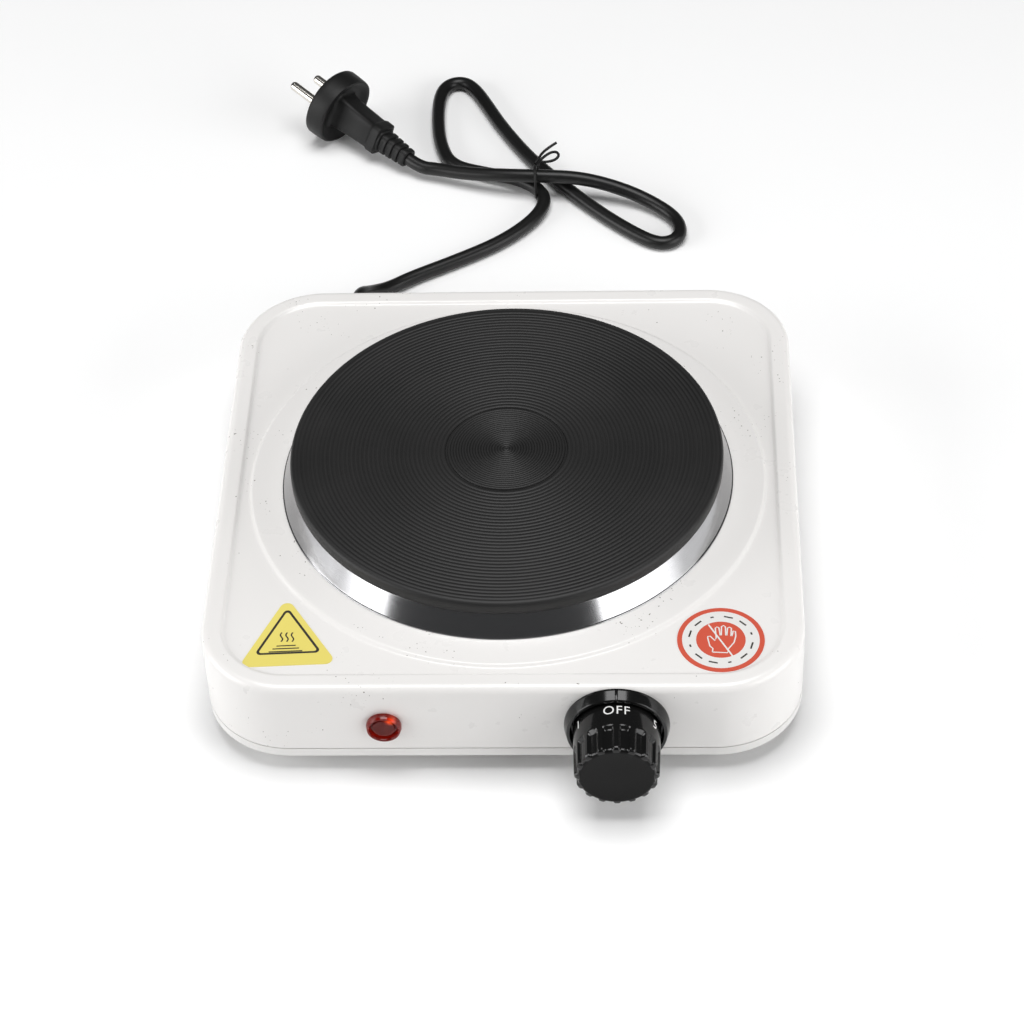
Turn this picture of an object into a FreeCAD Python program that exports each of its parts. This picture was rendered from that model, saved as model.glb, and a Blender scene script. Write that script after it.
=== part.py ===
import FreeCAD, Part
import math
import os
import re
import Sketcher
from FreeCAD import Placement, Rotation, Vector

# Hot plate burner: one cast-iron plate on a square pressed-steel body with a control knob, a pilot lamp
# and a mains lead.  Millimetres, +Z up, the knob faces -Y.  The origin is on the table, in the middle
# of the footprint of the body and its knob.

doc = FreeCAD.newDocument("hot_plate_burner")
sheet = doc.addObject("Spreadsheet::Sheet", "sizes")

SIZES = [
    ("foot_height", 9.0),  # rubber feet below the base pan
    ("foot_radius", 10.0),
    ("foot_place", 94.0),  # each foot's distance from both centre lines
    ("body_side", 252.0),  # square body, outside
    ("body_height", 41.4),  # base pan's underside to the top face
    ("corner_radius", 37.0),
    ("edge_radius", 3.4),  # round between the top and the sides
    ("sheet_wall", 0.8),
    ("pan_band", 5.0),  # height of base pan that shows below the shell
    ("pan_lip", 2.5),  # part of the pan that stands up inside the shell
    ("seam_gap", 0.5),
    ("fit_gap", 0.3),  # loose fit between sheet pieces
    ("panel_depth", 1.2),  # pressed corner panels
    ("panel_margin", 9.0),  # body side to panel side
    ("panel_waist", 13.5),  # body side to the arc that follows the plate
    ("panel_tip", 5.0),
    ("panel_soft", 0.9),  # round on the panels' edges
    ("rim_reach", 8.0),  # plate's edge beyond the round opening
    ("plate_radius", 94.0),
    ("plate_rise", 16.6),  # plate's top face above the body
    ("plate_rim", 6.2),  # rim thickness
    ("plate_round", 2.2),
    ("plate_web", 6.0),  # iron above the element's channel
    ("plate_skirt", 12.0),  # plate's top to the lower edge of its walls
    ("groove_radius", 26.0),
    ("ring_reach", 4.5),  # ring's edge beyond the plate's
    ("ring_sheet", 0.6),
    ("stud_radius", 3.0),
    ("boss_radius", 9.0),
    ("knob_x", 47.8),
    ("knob_z", 19.8),  # knob and lamp axes above the base pan's underside
    ("knob_radius", 18.3),
    ("knob_taper", 0.9),  # how much slimmer the knob is at the front
    ("knob_length", 28.6),  # body face to the knob's front
    ("knob_back_gap", 2.4),
    ("face_inset", 3.3),  # knob's side to the edge of its flat front
    ("flute_count", 16.0),
    ("flute_radius", 3.0),
    ("flute_depth", 1.1),
    ("flute_start", 15.0),
    ("bezel_gap", 2.1),  # knob's side to the bezel's front edge
    ("bezel_flare", 1.5),  # how much wider the bezel is on the body
    ("bezel_depth", 5.5),
    ("bezel_wall", 1.3),
    ("shaft_radius", 3.0),
    ("turning_gap", 0.06),  # running fit of the shaft
    ("lamp_x", -48.5),
    ("lens_radius", 7.4),
    ("lens_rise", 3.4),
    ("barrel_radius", 5.9),
    ("cord_radius", 3.4),
    ("cord_x", -78.0),
    ("cord_z", 9.0),  # cord's axis above the base pan's underside
    ("relief_length", 24.8),
    ("pin_radius", 2.4),
    ("pin_length", 19.0),
    ("pin_spacing", 19.0),
    ("plug_radius", 18.6),
    ("wire_radius", 1.1),
    ("label_thick", 0.2),
]
for row, (alias, number) in enumerate(SIZES, start=1):
    sheet.set(f"A{row}", alias)
    sheet.set(f"B{row}", str(number))
    sheet.setAlias(f"B{row}", alias)

# Values that follow from the ones above, worked out by the sheet itself.
DERIVED = [
    ("half_side", "body_side / 2"),
    ("opening_radius", "plate_radius - rim_reach"),
    ("ring_radius", "plate_radius + ring_reach"),
    ("knob_nose", "knob_radius - knob_taper"),
    ("knob_face", "knob_radius - face_inset"),
    ("bezel_front", "knob_radius + bezel_gap"),
    ("bezel_radius", "knob_radius + bezel_gap + bezel_flare"),
    ("body_y", "knob_length / 2"),  # moves the plate's axis back, so the footprint is centred
    ("shell_base", "foot_height + pan_band + seam_gap"),
    ("shell_height", "body_height - pan_band - seam_gap"),
    ("top_z", "foot_height + body_height"),
    ("sheet_under", "foot_height + body_height - sheet_wall"),
    ("panel_half", "body_side / 2 - panel_margin"),
    ("panel_corner", "corner_radius - panel_margin"),
    ("panel_arc", "body_side / 2 - panel_waist"),
    ("panel_top", "foot_height + body_height - panel_depth"),
    ("tray_under", "foot_height + body_height - panel_depth - sheet_wall"),
    ("plate_top", "foot_height + body_height + plate_rise"),
    ("rim_under", "foot_height + body_height + plate_rise - plate_rim"),
    ("skirt_under", "foot_height + body_height + plate_rise - plate_skirt"),
    ("axis_z", "foot_height + knob_z"),
    ("cord_axis_z", "foot_height + cord_z"),
    ("floor_z", "foot_height + sheet_wall"),
]
for row, (alias, formula) in enumerate(DERIVED, start=len(SIZES) + 1):
    sheet.set(f"A{row}", alias)
    sheet.set(f"B{row}", "=" + formula)
    sheet.setAlias(f"B{row}", alias)
doc.recompute()

NAMES = {alias for alias, _ in SIZES + DERIVED}
NODES = []


def size(alias):
    """The number in one cell."""
    return float(sheet.get(alias))


def bound(formula):
    """An expression in which every alias points at the sheet."""
    return re.sub("[a-z_]+", lambda word: "sizes." + word[0] if word[0] in NAMES else word[0], str(formula))


def number(formula):
    """What such an expression comes to now."""
    answer = sheet.evalExpression(bound(formula))
    return float(getattr(answer, "Value", answer))


def place(thing, x="0", y="0", z="0", turn=None):
    """Bind a placement's three distances, and set its rotation."""
    if turn is not None:
        thing.Placement = Placement(Vector(), turn)
    for axis, formula in (("x", x), ("y", y), ("z", z)):
        thing.setExpression(f"Placement.Base.{axis}", bound(formula))
    return thing


def keep(thing, node, x="0", y="0", z="0", turn=None):
    """Name a finished sub-part, and put it in the frame of the whole object."""
    thing.Label = node
    NODES.append(thing)
    return place(thing, x, y + " + body_y", z, turn)


FACE_FRONT = Rotation(Vector(1, 0, 0), 90)  # local +Z points out of the front face
FACE_BACK = Rotation(Vector(1, 0, 0), -90)  # local +Z points out of the rear face


# ---------------------------------------------------------------- sketches and features
def new_body(name):
    return doc.addObject("PartDesign::Body", name)


def plane(body, role):
    return next(item for item in body.Origin.OriginFeatures if item.Role == role)


def sketch_on(body, role="XY_Plane", lift="0"):
    sketch = body.newObject("Sketcher::SketchObject", body.Name + "_sketch")
    sketch.AttachmentSupport = [(plane(body, role), "")]
    sketch.MapMode = "FlatFace"
    sketch.setExpression("AttachmentOffset.Base.z", bound(lift))
    return sketch


def rule(sketch, kind, *where, formula):
    """A dimension that is bound to the sheet."""
    index = sketch.addConstraint(Sketcher.Constraint(kind, *where, number(formula)))
    title = f"size{index}"
    sketch.renameConstraint(index, title)
    sketch.setExpression("Constraints." + title, bound(formula))


def pin_point(sketch, curve, end, across, along):
    """Hold a point at two distances from the sketch's origin."""
    if across == "0" and along == "0":
        sketch.addConstraint(Sketcher.Constraint("Coincident", curve, end, -1, 1))
        return
    if across == "0":
        sketch.addConstraint(Sketcher.Constraint("PointOnObject", curve, end, -2))
    else:
        rule(sketch, "DistanceX", -1, 1, curve, end, formula=across)
    if along == "0":
        sketch.addConstraint(Sketcher.Constraint("PointOnObject", curve, end, -1))
    else:
        rule(sketch, "DistanceY", -1, 1, curve, end, formula=along)


def circle(sketch, radius, x="0", y="0"):
    ring = Part.Circle(Vector(number(x), number(y), 0), Vector(0, 0, 1), number(radius))
    curve = sketch.addGeometry(ring, False)
    pin_point(sketch, curve, 3, x, y)
    rule(sketch, "Radius", curve, formula=radius)


def outline(sketch, corners):
    """A closed polygon whose corners are pairs of expressions."""
    spots = [Vector(number(x), number(y), 0) for x, y in corners]
    lines = []
    for start, end in zip(spots, spots[1:] + spots[:1]):
        lines.append(sketch.addGeometry(Part.LineSegment(start, end), False))
    for line, follower in zip(lines, lines[1:] + lines[:1]):
        sketch.addConstraint(Sketcher.Constraint("Coincident", line, 2, follower, 1))
    for line, (x, y) in zip(lines, corners):
        pin_point(sketch, line, 1, x, y)


def rectangle(sketch, width, depth, x="0", y="0"):
    outline(sketch, [
        (f"{x} - ( {width} ) / 2", f"{y} - ( {depth} ) / 2"),
        (f"{x} + ( {width} ) / 2", f"{y} - ( {depth} ) / 2"),
        (f"{x} + ( {width} ) / 2", f"{y} + ( {depth} ) / 2"),
        (f"{x} - ( {width} ) / 2", f"{y} + ( {depth} ) / 2"),
    ])


def rounded_square(sketch, half, radius):
    """A centred square with round corners."""
    reach = number(half)
    bend = number(radius)
    core = reach - bend
    sides = []
    arcs = []
    for quarter in range(4):
        turn = Rotation(Vector(0, 0, 1), 90 * quarter)
        start = turn.multVec(Vector(core, -reach, 0))
        end = turn.multVec(Vector(-core, -reach, 0))
        sides.append(sketch.addGeometry(Part.LineSegment(end, start), False))
        centre = turn.multVec(Vector(core, -core, 0))
        first = math.radians(-90 + 90 * quarter)
        arc = Part.ArcOfCircle(Part.Circle(centre, Vector(0, 0, 1), bend), first, first + math.pi / 2)
        arcs.append(sketch.addGeometry(arc, False))
    for side, arc in zip(sides, arcs):
        sketch.addConstraint(Sketcher.Constraint("Tangent", side, 2, arc, 1))
    for arc, side in zip(arcs, sides[1:] + sides[:1]):
        sketch.addConstraint(Sketcher.Constraint("Tangent", arc, 2, side, 1))
    for side, kind in zip(sides, ("Horizontal", "Vertical", "Horizontal", "Vertical")):
        sketch.addConstraint(Sketcher.Constraint(kind, side))
    for arc in arcs[1:]:
        sketch.addConstraint(Sketcher.Constraint("Equal", arcs[0], arc))
    rule(sketch, "Radius", arcs[0], formula=radius)
    rule(sketch, "DistanceY", sides[0], 2, -1, 1, formula=half)
    rule(sketch, "DistanceX", -1, 1, sides[1], 1, formula=half)
    rule(sketch, "DistanceY", -1, 1, sides[2], 1, formula=half)
    rule(sketch, "DistanceX", sides[3], 1, -1, 1, formula=half)


def corner_panel(sketch, grow="0"):
    """The pressed corner panel: two sides along the body, one arc round the plate, soft tips."""
    half = number(f"panel_half + {grow}")
    bend = number(f"panel_corner + {grow}")
    arc_radius = number(f"panel_arc - {grow}")
    tip = number(f"panel_tip + {grow}")
    tip_x = half - tip
    tip_y = math.sqrt((arc_radius + tip) ** 2 - tip_x ** 2)
    angle = math.atan2(tip_y, tip_x)
    up = Vector(0, 0, 1)

    def arc(x, y, radius, start, end):
        return sketch.addGeometry(Part.ArcOfCircle(Part.Circle(Vector(x, y, 0), up, radius), start, end), False)

    side_a = sketch.addGeometry(Part.LineSegment(Vector(half, tip_y, 0), Vector(half, half - bend, 0)), False)
    corner = arc(half - bend, half - bend, bend, 0, math.pi / 2)
    side_b = sketch.addGeometry(Part.LineSegment(Vector(half - bend, half, 0), Vector(tip_y, half, 0)), False)
    tip_b = arc(tip_y, tip_x, tip, math.pi / 2, 3 * math.pi / 2 - angle)
    inner = arc(0, 0, arc_radius, angle, math.pi / 2 - angle)
    tip_a = arc(tip_x, tip_y, tip, math.pi + angle, 2 * math.pi)
    joins = [(side_a, 2, corner, 1), (corner, 2, side_b, 1), (side_b, 2, tip_b, 1), (tip_b, 2, inner, 2),
             (inner, 1, tip_a, 1), (tip_a, 2, side_a, 1)]
    for join in joins:
        sketch.addConstraint(Sketcher.Constraint("Tangent", *join))
    sketch.addConstraint(Sketcher.Constraint("Vertical", side_a))
    sketch.addConstraint(Sketcher.Constraint("Horizontal", side_b))
    sketch.addConstraint(Sketcher.Constraint("Coincident", inner, 3, -1, 1))
    rule(sketch, "Radius", inner, formula=f"panel_arc - {grow}")
    rule(sketch, "Radius", corner, formula=f"panel_corner + {grow}")
    rule(sketch, "Radius", tip_a, formula=f"panel_tip + {grow}")
    sketch.addConstraint(Sketcher.Constraint("Equal", tip_a, tip_b))
    rule(sketch, "DistanceX", -1, 1, side_a, 1, formula=f"panel_half + {grow}")
    rule(sketch, "DistanceY", -1, 1, side_b, 1, formula=f"panel_half + {grow}")


def pad(body, sketch, length, backwards=False):
    feature = body.newObject("PartDesign::Pad", body.Name + "_pad")
    feature.Profile = sketch
    feature.setExpression("Length", bound(length))
    feature.Reversed = backwards
    doc.recompute()
    return feature


def pocket(body, sketch, depth, backwards=False):
    """A pocket that must take something away."""
    before = body.Shape.Volume
    feature = body.newObject("PartDesign::Pocket", body.Name + "_pocket")
    feature.Profile = sketch
    feature.setExpression("Length", bound(depth))
    feature.Reversed = backwards
    doc.recompute()
    if body.Shape.Volume > before - 1e-3:
        raise ValueError(body.Name + ": a pocket cuts nothing")
    return feature


def around(body, feature, count, degrees="360"):
    """Repeat a feature about the body's own Z axis."""
    pattern = body.newObject("PartDesign::PolarPattern", body.Name + "_pattern")
    pattern.Originals = [feature]
    pattern.Axis = (plane(body, "Z_Axis"), [""])
    pattern.setExpression("Angle", degrees)
    pattern.setExpression("Occurrences", bound(count))
    body.Tip = pattern
    doc.recompute()
    return pattern


def turned(name, corners):
    """A turned piece: a closed outline of (radius, height) pairs about local Z."""
    body = new_body(name)
    sketch = sketch_on(body, "XZ_Plane")
    outline(sketch, corners)
    feature = body.newObject("PartDesign::Revolution", name + "_turn")
    feature.Profile = sketch
    feature.ReferenceAxis = (sketch, ["V_Axis"])
    feature.Angle = 360
    doc.recompute()
    return body


def soften(body, kind, amount, wanted):
    """Fillet or chamfer the edges that a test picks out."""
    base = body.Tip
    names = [f"Edge{i + 1}" for i, edge in enumerate(base.Shape.Edges) if wanted(edge)]
    feature = body.newObject("PartDesign::" + kind, body.Name + "_" + kind.lower())
    feature.Base = (base, names)
    feature.setExpression("Radius" if kind == "Fillet" else "Size", bound(amount))
    doc.recompute()
    return feature


def flat_at(edge, height):
    """True for an edge that lies at one height."""
    box = edge.BoundBox
    return abs(box.ZMin - height) < 1e-4 and abs(box.ZMax - height) < 1e-4


# ---------------------------------------------------------------- primitives
def block(name, width, depth, height, x="0", y="0", z="0"):
    """A box centred in x and y that stands on z."""
    box = doc.addObject("Part::Box", name)
    box.setExpression("Length", bound(width))
    box.setExpression("Width", bound(depth))
    box.setExpression("Height", bound(height))
    return place(box, f"{x} - ( {width} ) / 2", f"{y} - ( {depth} ) / 2", z)


def rod(name, radius, length, x="0", y="0", z="0", turn=None):
    cylinder = doc.addObject("Part::Cylinder", name)
    cylinder.setExpression("Radius", bound(radius))
    cylinder.setExpression("Height", bound(length))
    return place(cylinder, x, y, z, turn)


def cut(name, base, *tools):
    """Base less the tools."""
    result = doc.addObject("Part::Cut", name)
    result.Base = base
    result.Tool = tools[0] if len(tools) == 1 else join(name + "_tools", *tools)
    return result


def join(name, *shapes):
    result = doc.addObject("Part::MultiFuse", name)
    result.Shapes = list(shapes)
    return result


def group(name, *shapes):
    """Separate solids that are one kind of piece."""
    result = doc.addObject("Part::Compound", name)
    result.Links = list(shapes)
    return result


def arcs_and_runs(points):
    """Straight runs joined by tangent arcs, each as large as its two runs allow."""
    edges = []
    radii = []
    start = points[0]
    for before, here, after in zip(points, points[1:], points[2:]):
        back = before - here
        ahead = after - here
        trim = 0.45 * min(back.Length, ahead.Length)
        half_turn = (math.pi - back.getAngle(ahead)) / 2
        radius = trim / math.tan(half_turn)
        back.normalize()
        ahead.normalize()
        first = here + back * trim
        last = here + ahead * trim
        inward = (back + ahead).normalize()
        middle = here + inward * (radius / math.cos(half_turn) - radius)
        edges.append(Part.LineSegment(start, first).toShape())
        edges.append(Part.Arc(first, middle, last).toShape())
        radii.append(radius)
        start = last
    edges.append(Part.LineSegment(start, points[-1]).toShape())
    return Part.Wire(edges), radii


def tube(node, points, radius, closed_path=None):
    """A round tube along a route; the route is in the frame of the whole object."""
    path, radii = (closed_path, []) if closed_path else arcs_and_runs(points)
    first = path.Edges[0]
    spot = first.valueAt(first.FirstParameter)
    heading = first.tangentAt(first.FirstParameter)
    ring = Part.Wire(Part.makeCircle(radius, spot, heading))
    solid = path.makePipeShell([ring], True, False)
    expected = math.pi * radius ** 2 * path.Length
    if abs(solid.Volume - expected) > 0.01 * expected:
        raise ValueError(f"{node}: volume {solid.Volume:.1f}, expected {expected:.1f}")
    feature = doc.addObject("Part::Feature", node)
    feature.Shape = solid
    feature.Label = node
    NODES.append(feature)
    return path.Length, radii


# ---------------------------------------------------------------- body of the appliance
def top_shell():
    """Pressed steel housing with four sunken corner panels."""
    body = new_body("shell")
    sketch = sketch_on(body)
    rounded_square(sketch, "half_side", "corner_radius")
    pad(body, sketch, "shell_height")
    soften(body, "Fillet", "edge_radius", lambda edge: flat_at(edge, size("shell_height")))
    names = [f"Face{i + 1}" for i, face in enumerate(body.Shape.Faces) if abs(face.BoundBox.ZMax) < 1e-4]
    solid = body.Tip
    hollow = body.newObject("PartDesign::Thickness", "shell_hollow")
    hollow.Base = (solid, names)
    hollow.setExpression("Value", bound("sheet_wall"))
    hollow.Reversed = True
    doc.recompute()
    tray_sketch = sketch_on(body, lift="shell_height - sheet_wall - panel_depth")
    corner_panel(tray_sketch, "sheet_wall")
    around(body, pad(body, tray_sketch, "panel_depth + sheet_wall / 2"), "4")
    panel_sketch = sketch_on(body, lift="shell_height")
    corner_panel(panel_sketch)
    around(body, pocket(body, panel_sketch, "panel_depth"), "4")
    soften(body, "Fillet", "panel_soft", lambda edge: panel_edge(edge))
    opening = sketch_on(body, lift="shell_height")
    circle(opening, "opening_radius")
    pocket(body, opening, "4 * sheet_wall")
    knob_level = "knob_z - pan_band - seam_gap"
    front = sketch_on(body, "XZ_Plane", "half_side + 1")
    circle(front, "shaft_radius + 1", "knob_x", knob_level)
    circle(front, "barrel_radius + fit_gap", "lamp_x", knob_level)
    for side in ("- 15", "+ 15"):
        circle(front, "1.7", "knob_x " + side, knob_level)
    pocket(body, front, "sheet_wall + 3")
    rear = sketch_on(body, "XZ_Plane", "- half_side - 1")
    circle(rear, "cord_radius + 3.2", "cord_x", "cord_z - pan_band - seam_gap")
    pocket(body, rear, "sheet_wall + 3", backwards=True)
    keep(body, "top_shell", z="shell_base")


def panel_edge(edge):
    """The upper rim of a pressed panel."""
    if not flat_at(edge, size("shell_height")):
        return False
    box = edge.BoundBox
    reach = max(abs(box.XMin), abs(box.XMax), abs(box.YMin), abs(box.YMax))
    return reach < size("panel_half") + 0.01


def base_pan():
    """Steel tray that closes the body from below, with slots for cooling air."""
    body = new_body("pan")
    band = sketch_on(body)
    rounded_square(band, "half_side", "corner_radius")
    pad(body, band, "pan_band")
    soften(body, "Fillet", "sheet_wall * 1.5", lambda edge: flat_at(edge, 0))
    lip = sketch_on(body, lift="sheet_wall")
    rounded_square(lip, "half_side - sheet_wall - fit_gap", "corner_radius - sheet_wall - fit_gap")
    pad(body, lip, "pan_band + pan_lip - sheet_wall")
    inside = sketch_on(body, lift="pan_band + pan_lip")
    rounded_square(inside, "half_side - 2 * sheet_wall - fit_gap", "corner_radius - 2 * sheet_wall - fit_gap")
    pocket(body, inside, "pan_band + pan_lip - sheet_wall")
    slot = sketch_on(body, lift="sheet_wall")
    rectangle(slot, "28", "4", "0", "44")
    around(body, pocket(body, slot, "2 * sheet_wall"), "8")
    notch = sketch_on(body, lift="pan_band + pan_lip")
    rectangle(notch, "2 * cord_radius + 10.6", "5", "cord_x", "half_side - 3.1")
    pocket(body, notch, "pan_band + pan_lip - sheet_wall")
    entry = sketch_on(body, "XZ_Plane", "- half_side - 1")
    circle(entry, "cord_radius + 3.2", "cord_x", "cord_z")
    pocket(body, entry, "sheet_wall + 3", backwards=True)
    holes = sketch_on(body, lift="sheet_wall")
    circle(holes, "2", "foot_place", "foot_place")
    around(body, pocket(body, holes, "2 * sheet_wall"), "4")
    keep(body, "base_pan", z="foot_height")


def plate_and_ring():
    """Cast-iron plate with its channel underneath, and the stainless ring that it sits on."""
    channel = "plate_top - plate_web"
    plate = turned("plate", [
        ("0", "plate_top"),
        ("groove_radius - 0.7", "plate_top"),
        ("groove_radius", "plate_top - 0.7"),
        ("groove_radius + 0.7", "plate_top"),
        ("plate_radius - plate_round", "plate_top"),
        ("plate_radius - plate_round * 0.29", "plate_top - plate_round * 0.29"),
        ("plate_radius", "plate_top - plate_round"),
        ("plate_radius", "rim_under"),
        ("opening_radius", "rim_under"),
        ("opening_radius", "skirt_under"),
        ("opening_radius - 4", "skirt_under"),
        ("opening_radius - 4", channel),
        ("boss_radius + 13", channel),
        ("boss_radius + 13", "skirt_under"),
        ("boss_radius", "skirt_under"),
        ("boss_radius", "skirt_under - 3"),
        ("stud_radius + turning_gap", "skirt_under - 3"),
        ("stud_radius + turning_gap", "skirt_under + 4"),
        ("0", "skirt_under + 4"),
    ])
    keep(plate, "hot_plate")
    ring = turned("ring", [
        ("opening_radius + 1", "rim_under - ring_sheet"),
        ("plate_radius - 1.6", "rim_under - ring_sheet"),
        ("ring_radius - 1.5", "top_z + ring_sheet"),
        ("ring_radius - 1.5", "top_z"),
        ("ring_radius", "top_z"),
        ("ring_radius", "top_z + ring_sheet"),
        ("ring_radius - 0.8", "top_z + ring_sheet + 0.5"),
        ("plate_radius - 0.9", "rim_under - 0.5"),
        ("plate_radius - 1.4", "rim_under"),
        ("opening_radius + 1", "rim_under"),
    ])
    keep(ring, "trim_ring")
    insulation = turned("insulation", [
        ("boss_radius + 13 + fit_gap", channel),
        ("boss_radius + 13 + fit_gap", channel + " - 2.4"),
        ("opening_radius - 4 - fit_gap", channel + " - 2.4"),
        ("opening_radius - 4 - fit_gap", channel),
    ])
    keep(insulation, "element_insulation")
    shield = turned("shield", [
        ("stud_radius + fit_gap", "skirt_under - 3"),
        ("stud_radius + fit_gap", "skirt_under - 3 - ring_sheet"),
        ("opening_radius - 2", "skirt_under - 3 - ring_sheet"),
        ("opening_radius - 2", "skirt_under - fit_gap"),
        ("opening_radius - 2 - ring_sheet", "skirt_under - fit_gap"),
        ("opening_radius - 2 - ring_sheet", "skirt_under - 3"),
    ])
    ports = sketch_on(shield, "XY_Plane", "skirt_under")
    for radius, angle in COIL_ENDS:
        circle(ports, "3.4", f"{radius} * cos({angle})", f"{radius} * sin({angle})")
    pocket(shield, ports, "6")
    keep(shield, "heat_shield")


COIL_ENDS = [("66", "290 deg"), ("46", "290 deg")]  # radius and direction of the element's two ends


def heating_element():
    """Resistance coil in its sheath, an outer loop and an inner loop, with two terminal posts."""
    radius = 1.4
    level = size("plate_top") - size("plate_web") - 4.2
    outer, inner = 66.0, 46.0
    start, end = math.radians(-70), math.radians(250)
    up = Vector(0, 0, 1)
    centre = Vector(0, 0, level)

    def spot(distance, angle):
        return Vector(distance * math.cos(angle), distance * math.sin(angle), level)

    half = (outer + inner) / 2
    bend = (outer - inner) / 2
    tip = spot(half, end) + Vector(-math.sin(end), math.cos(end), 0) * bend
    edges = [
        Part.ArcOfCircle(Part.Circle(centre, up, outer), start, end).toShape(),
        Part.Arc(spot(outer, end), tip, spot(inner, end)).toShape(),
        Part.ArcOfCircle(Part.Circle(centre, up, inner), start, end).toShape(),
    ]
    tube("heating_coil", None, radius, Part.Wire(Part.__sortEdges__(edges)))
    coil = NODES[-1]
    place(coil, y="body_y")
    posts = []
    for index, (distance, angle) in enumerate(COIL_ENDS):
        x = f"{distance} * cos({angle})"
        y = f"{distance} * sin({angle})"
        posts.append(rod(f"post{index}", "1.6", "14", x, y, "plate_top - plate_web - 5 - 14"))
    keep(group("posts", *posts), "element_terminals")


def clamp():
    """Bar under the body's top, drawn up by the stud in the plate."""
    bar = block("bar", "2 * opening_radius + 20", "16", "1.5", z="sheet_under - 1.5")
    hole = rod("bar_hole", "stud_radius + fit_gap", "4", z="sheet_under - 3")
    keep(cut("bracket", bar, hole), "clamp_bracket")
    stud = turned("stud", [
        ("0", "skirt_under + 3"),
        ("stud_radius - 0.5", "skirt_under + 3"),
        ("stud_radius", "skirt_under + 2.5"),
        ("stud_radius", "sheet_under - 12"),
        ("stud_radius - 0.8", "sheet_under - 13"),
        ("0", "sheet_under - 13"),
    ])
    keep(stud, "centre_stud")
    washer = turned("washer", [
        ("stud_radius + fit_gap", "sheet_under - 1.5"),
        ("stud_radius + fit_gap", "sheet_under - 2.5"),
        ("stud_radius + 3.5", "sheet_under - 2.5"),
        ("stud_radius + 3.5", "sheet_under - 1.5"),
    ])
    keep(washer, "stud_washer")
    hexagon = doc.addObject("Part::Prism", "hexagon")
    hexagon.Polygon = 6
    hexagon.setExpression("Circumradius", bound("stud_radius * 1.9"))
    hexagon.Height = 5
    place(hexagon, z="sheet_under - 7.5")
    bore = rod("nut_bore", "stud_radius + turning_gap", "7", z="sheet_under - 8.5")
    keep(cut("nut", hexagon, bore), "stud_nut")


# ---------------------------------------------------------------- knob, thermostat and lamp
def control_knob():
    """Fluted knob; local +Z is its axis, out of the body's front face."""
    knob = turned("knob", [
        ("0", "knob_back_gap + 12"),
        ("shaft_radius", "knob_back_gap + 12"),
        ("shaft_radius", "knob_back_gap"),
        ("shaft_radius + 5", "knob_back_gap"),
        ("shaft_radius + 5", "knob_length - 6"),
        ("knob_nose - 4", "knob_length - 6"),
        ("knob_radius - 2", "knob_back_gap"),
        ("knob_radius - 0.2", "knob_back_gap"),
        ("knob_radius", "knob_back_gap + 2"),
        ("knob_nose", "knob_length - 1.6"),
        ("knob_nose - 0.6", "knob_length - 0.7"),
        ("knob_face", "knob_length - 0.1"),
        ("knob_face - 0.6", "knob_length"),
        ("0", "knob_length"),
    ])
    flute = sketch_on(knob, "XY_Plane", "knob_length + 1")
    circle(flute, "flute_radius", "knob_nose + flute_radius - flute_depth", "0")
    around(knob, pocket(knob, flute, "knob_length + 1 - flute_start"), "flute_count")
    keep(knob, "control_knob", "knob_x", "- half_side", "axis_z", FACE_FRONT)


def knob_bezel():
    """Fixed collar round the knob, with a small pointer rib at the top."""
    bezel = turned("bezel", [
        ("shaft_radius + 1", "0"),
        ("bezel_radius", "0"),
        ("bezel_radius", "1"),
        ("bezel_front + 0.4", "bezel_depth - 0.3"),
        ("bezel_front", "bezel_depth"),
        ("bezel_front - bezel_wall + 0.2", "bezel_depth"),
        ("bezel_front - bezel_wall", "bezel_depth - 0.3"),
        ("bezel_front - bezel_wall", "bezel_wall"),
        ("shaft_radius + 1", "bezel_wall"),
    ])
    rib = sketch_on(bezel, "XY_Plane")
    rectangle(rib, "1.3", "1.6", "0", "bezel_radius - 0.4")
    pad(bezel, rib, "bezel_depth - 1.2")
    screw_holes = sketch_on(bezel, "XY_Plane", "bezel_wall")
    for side in ("- 15", "15"):
        circle(screw_holes, "3.1", side, "0")
    pocket(bezel, screw_holes, "2 * bezel_wall")
    keep(bezel, "knob_bezel", "knob_x", "- half_side", "axis_z", FACE_FRONT)


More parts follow.
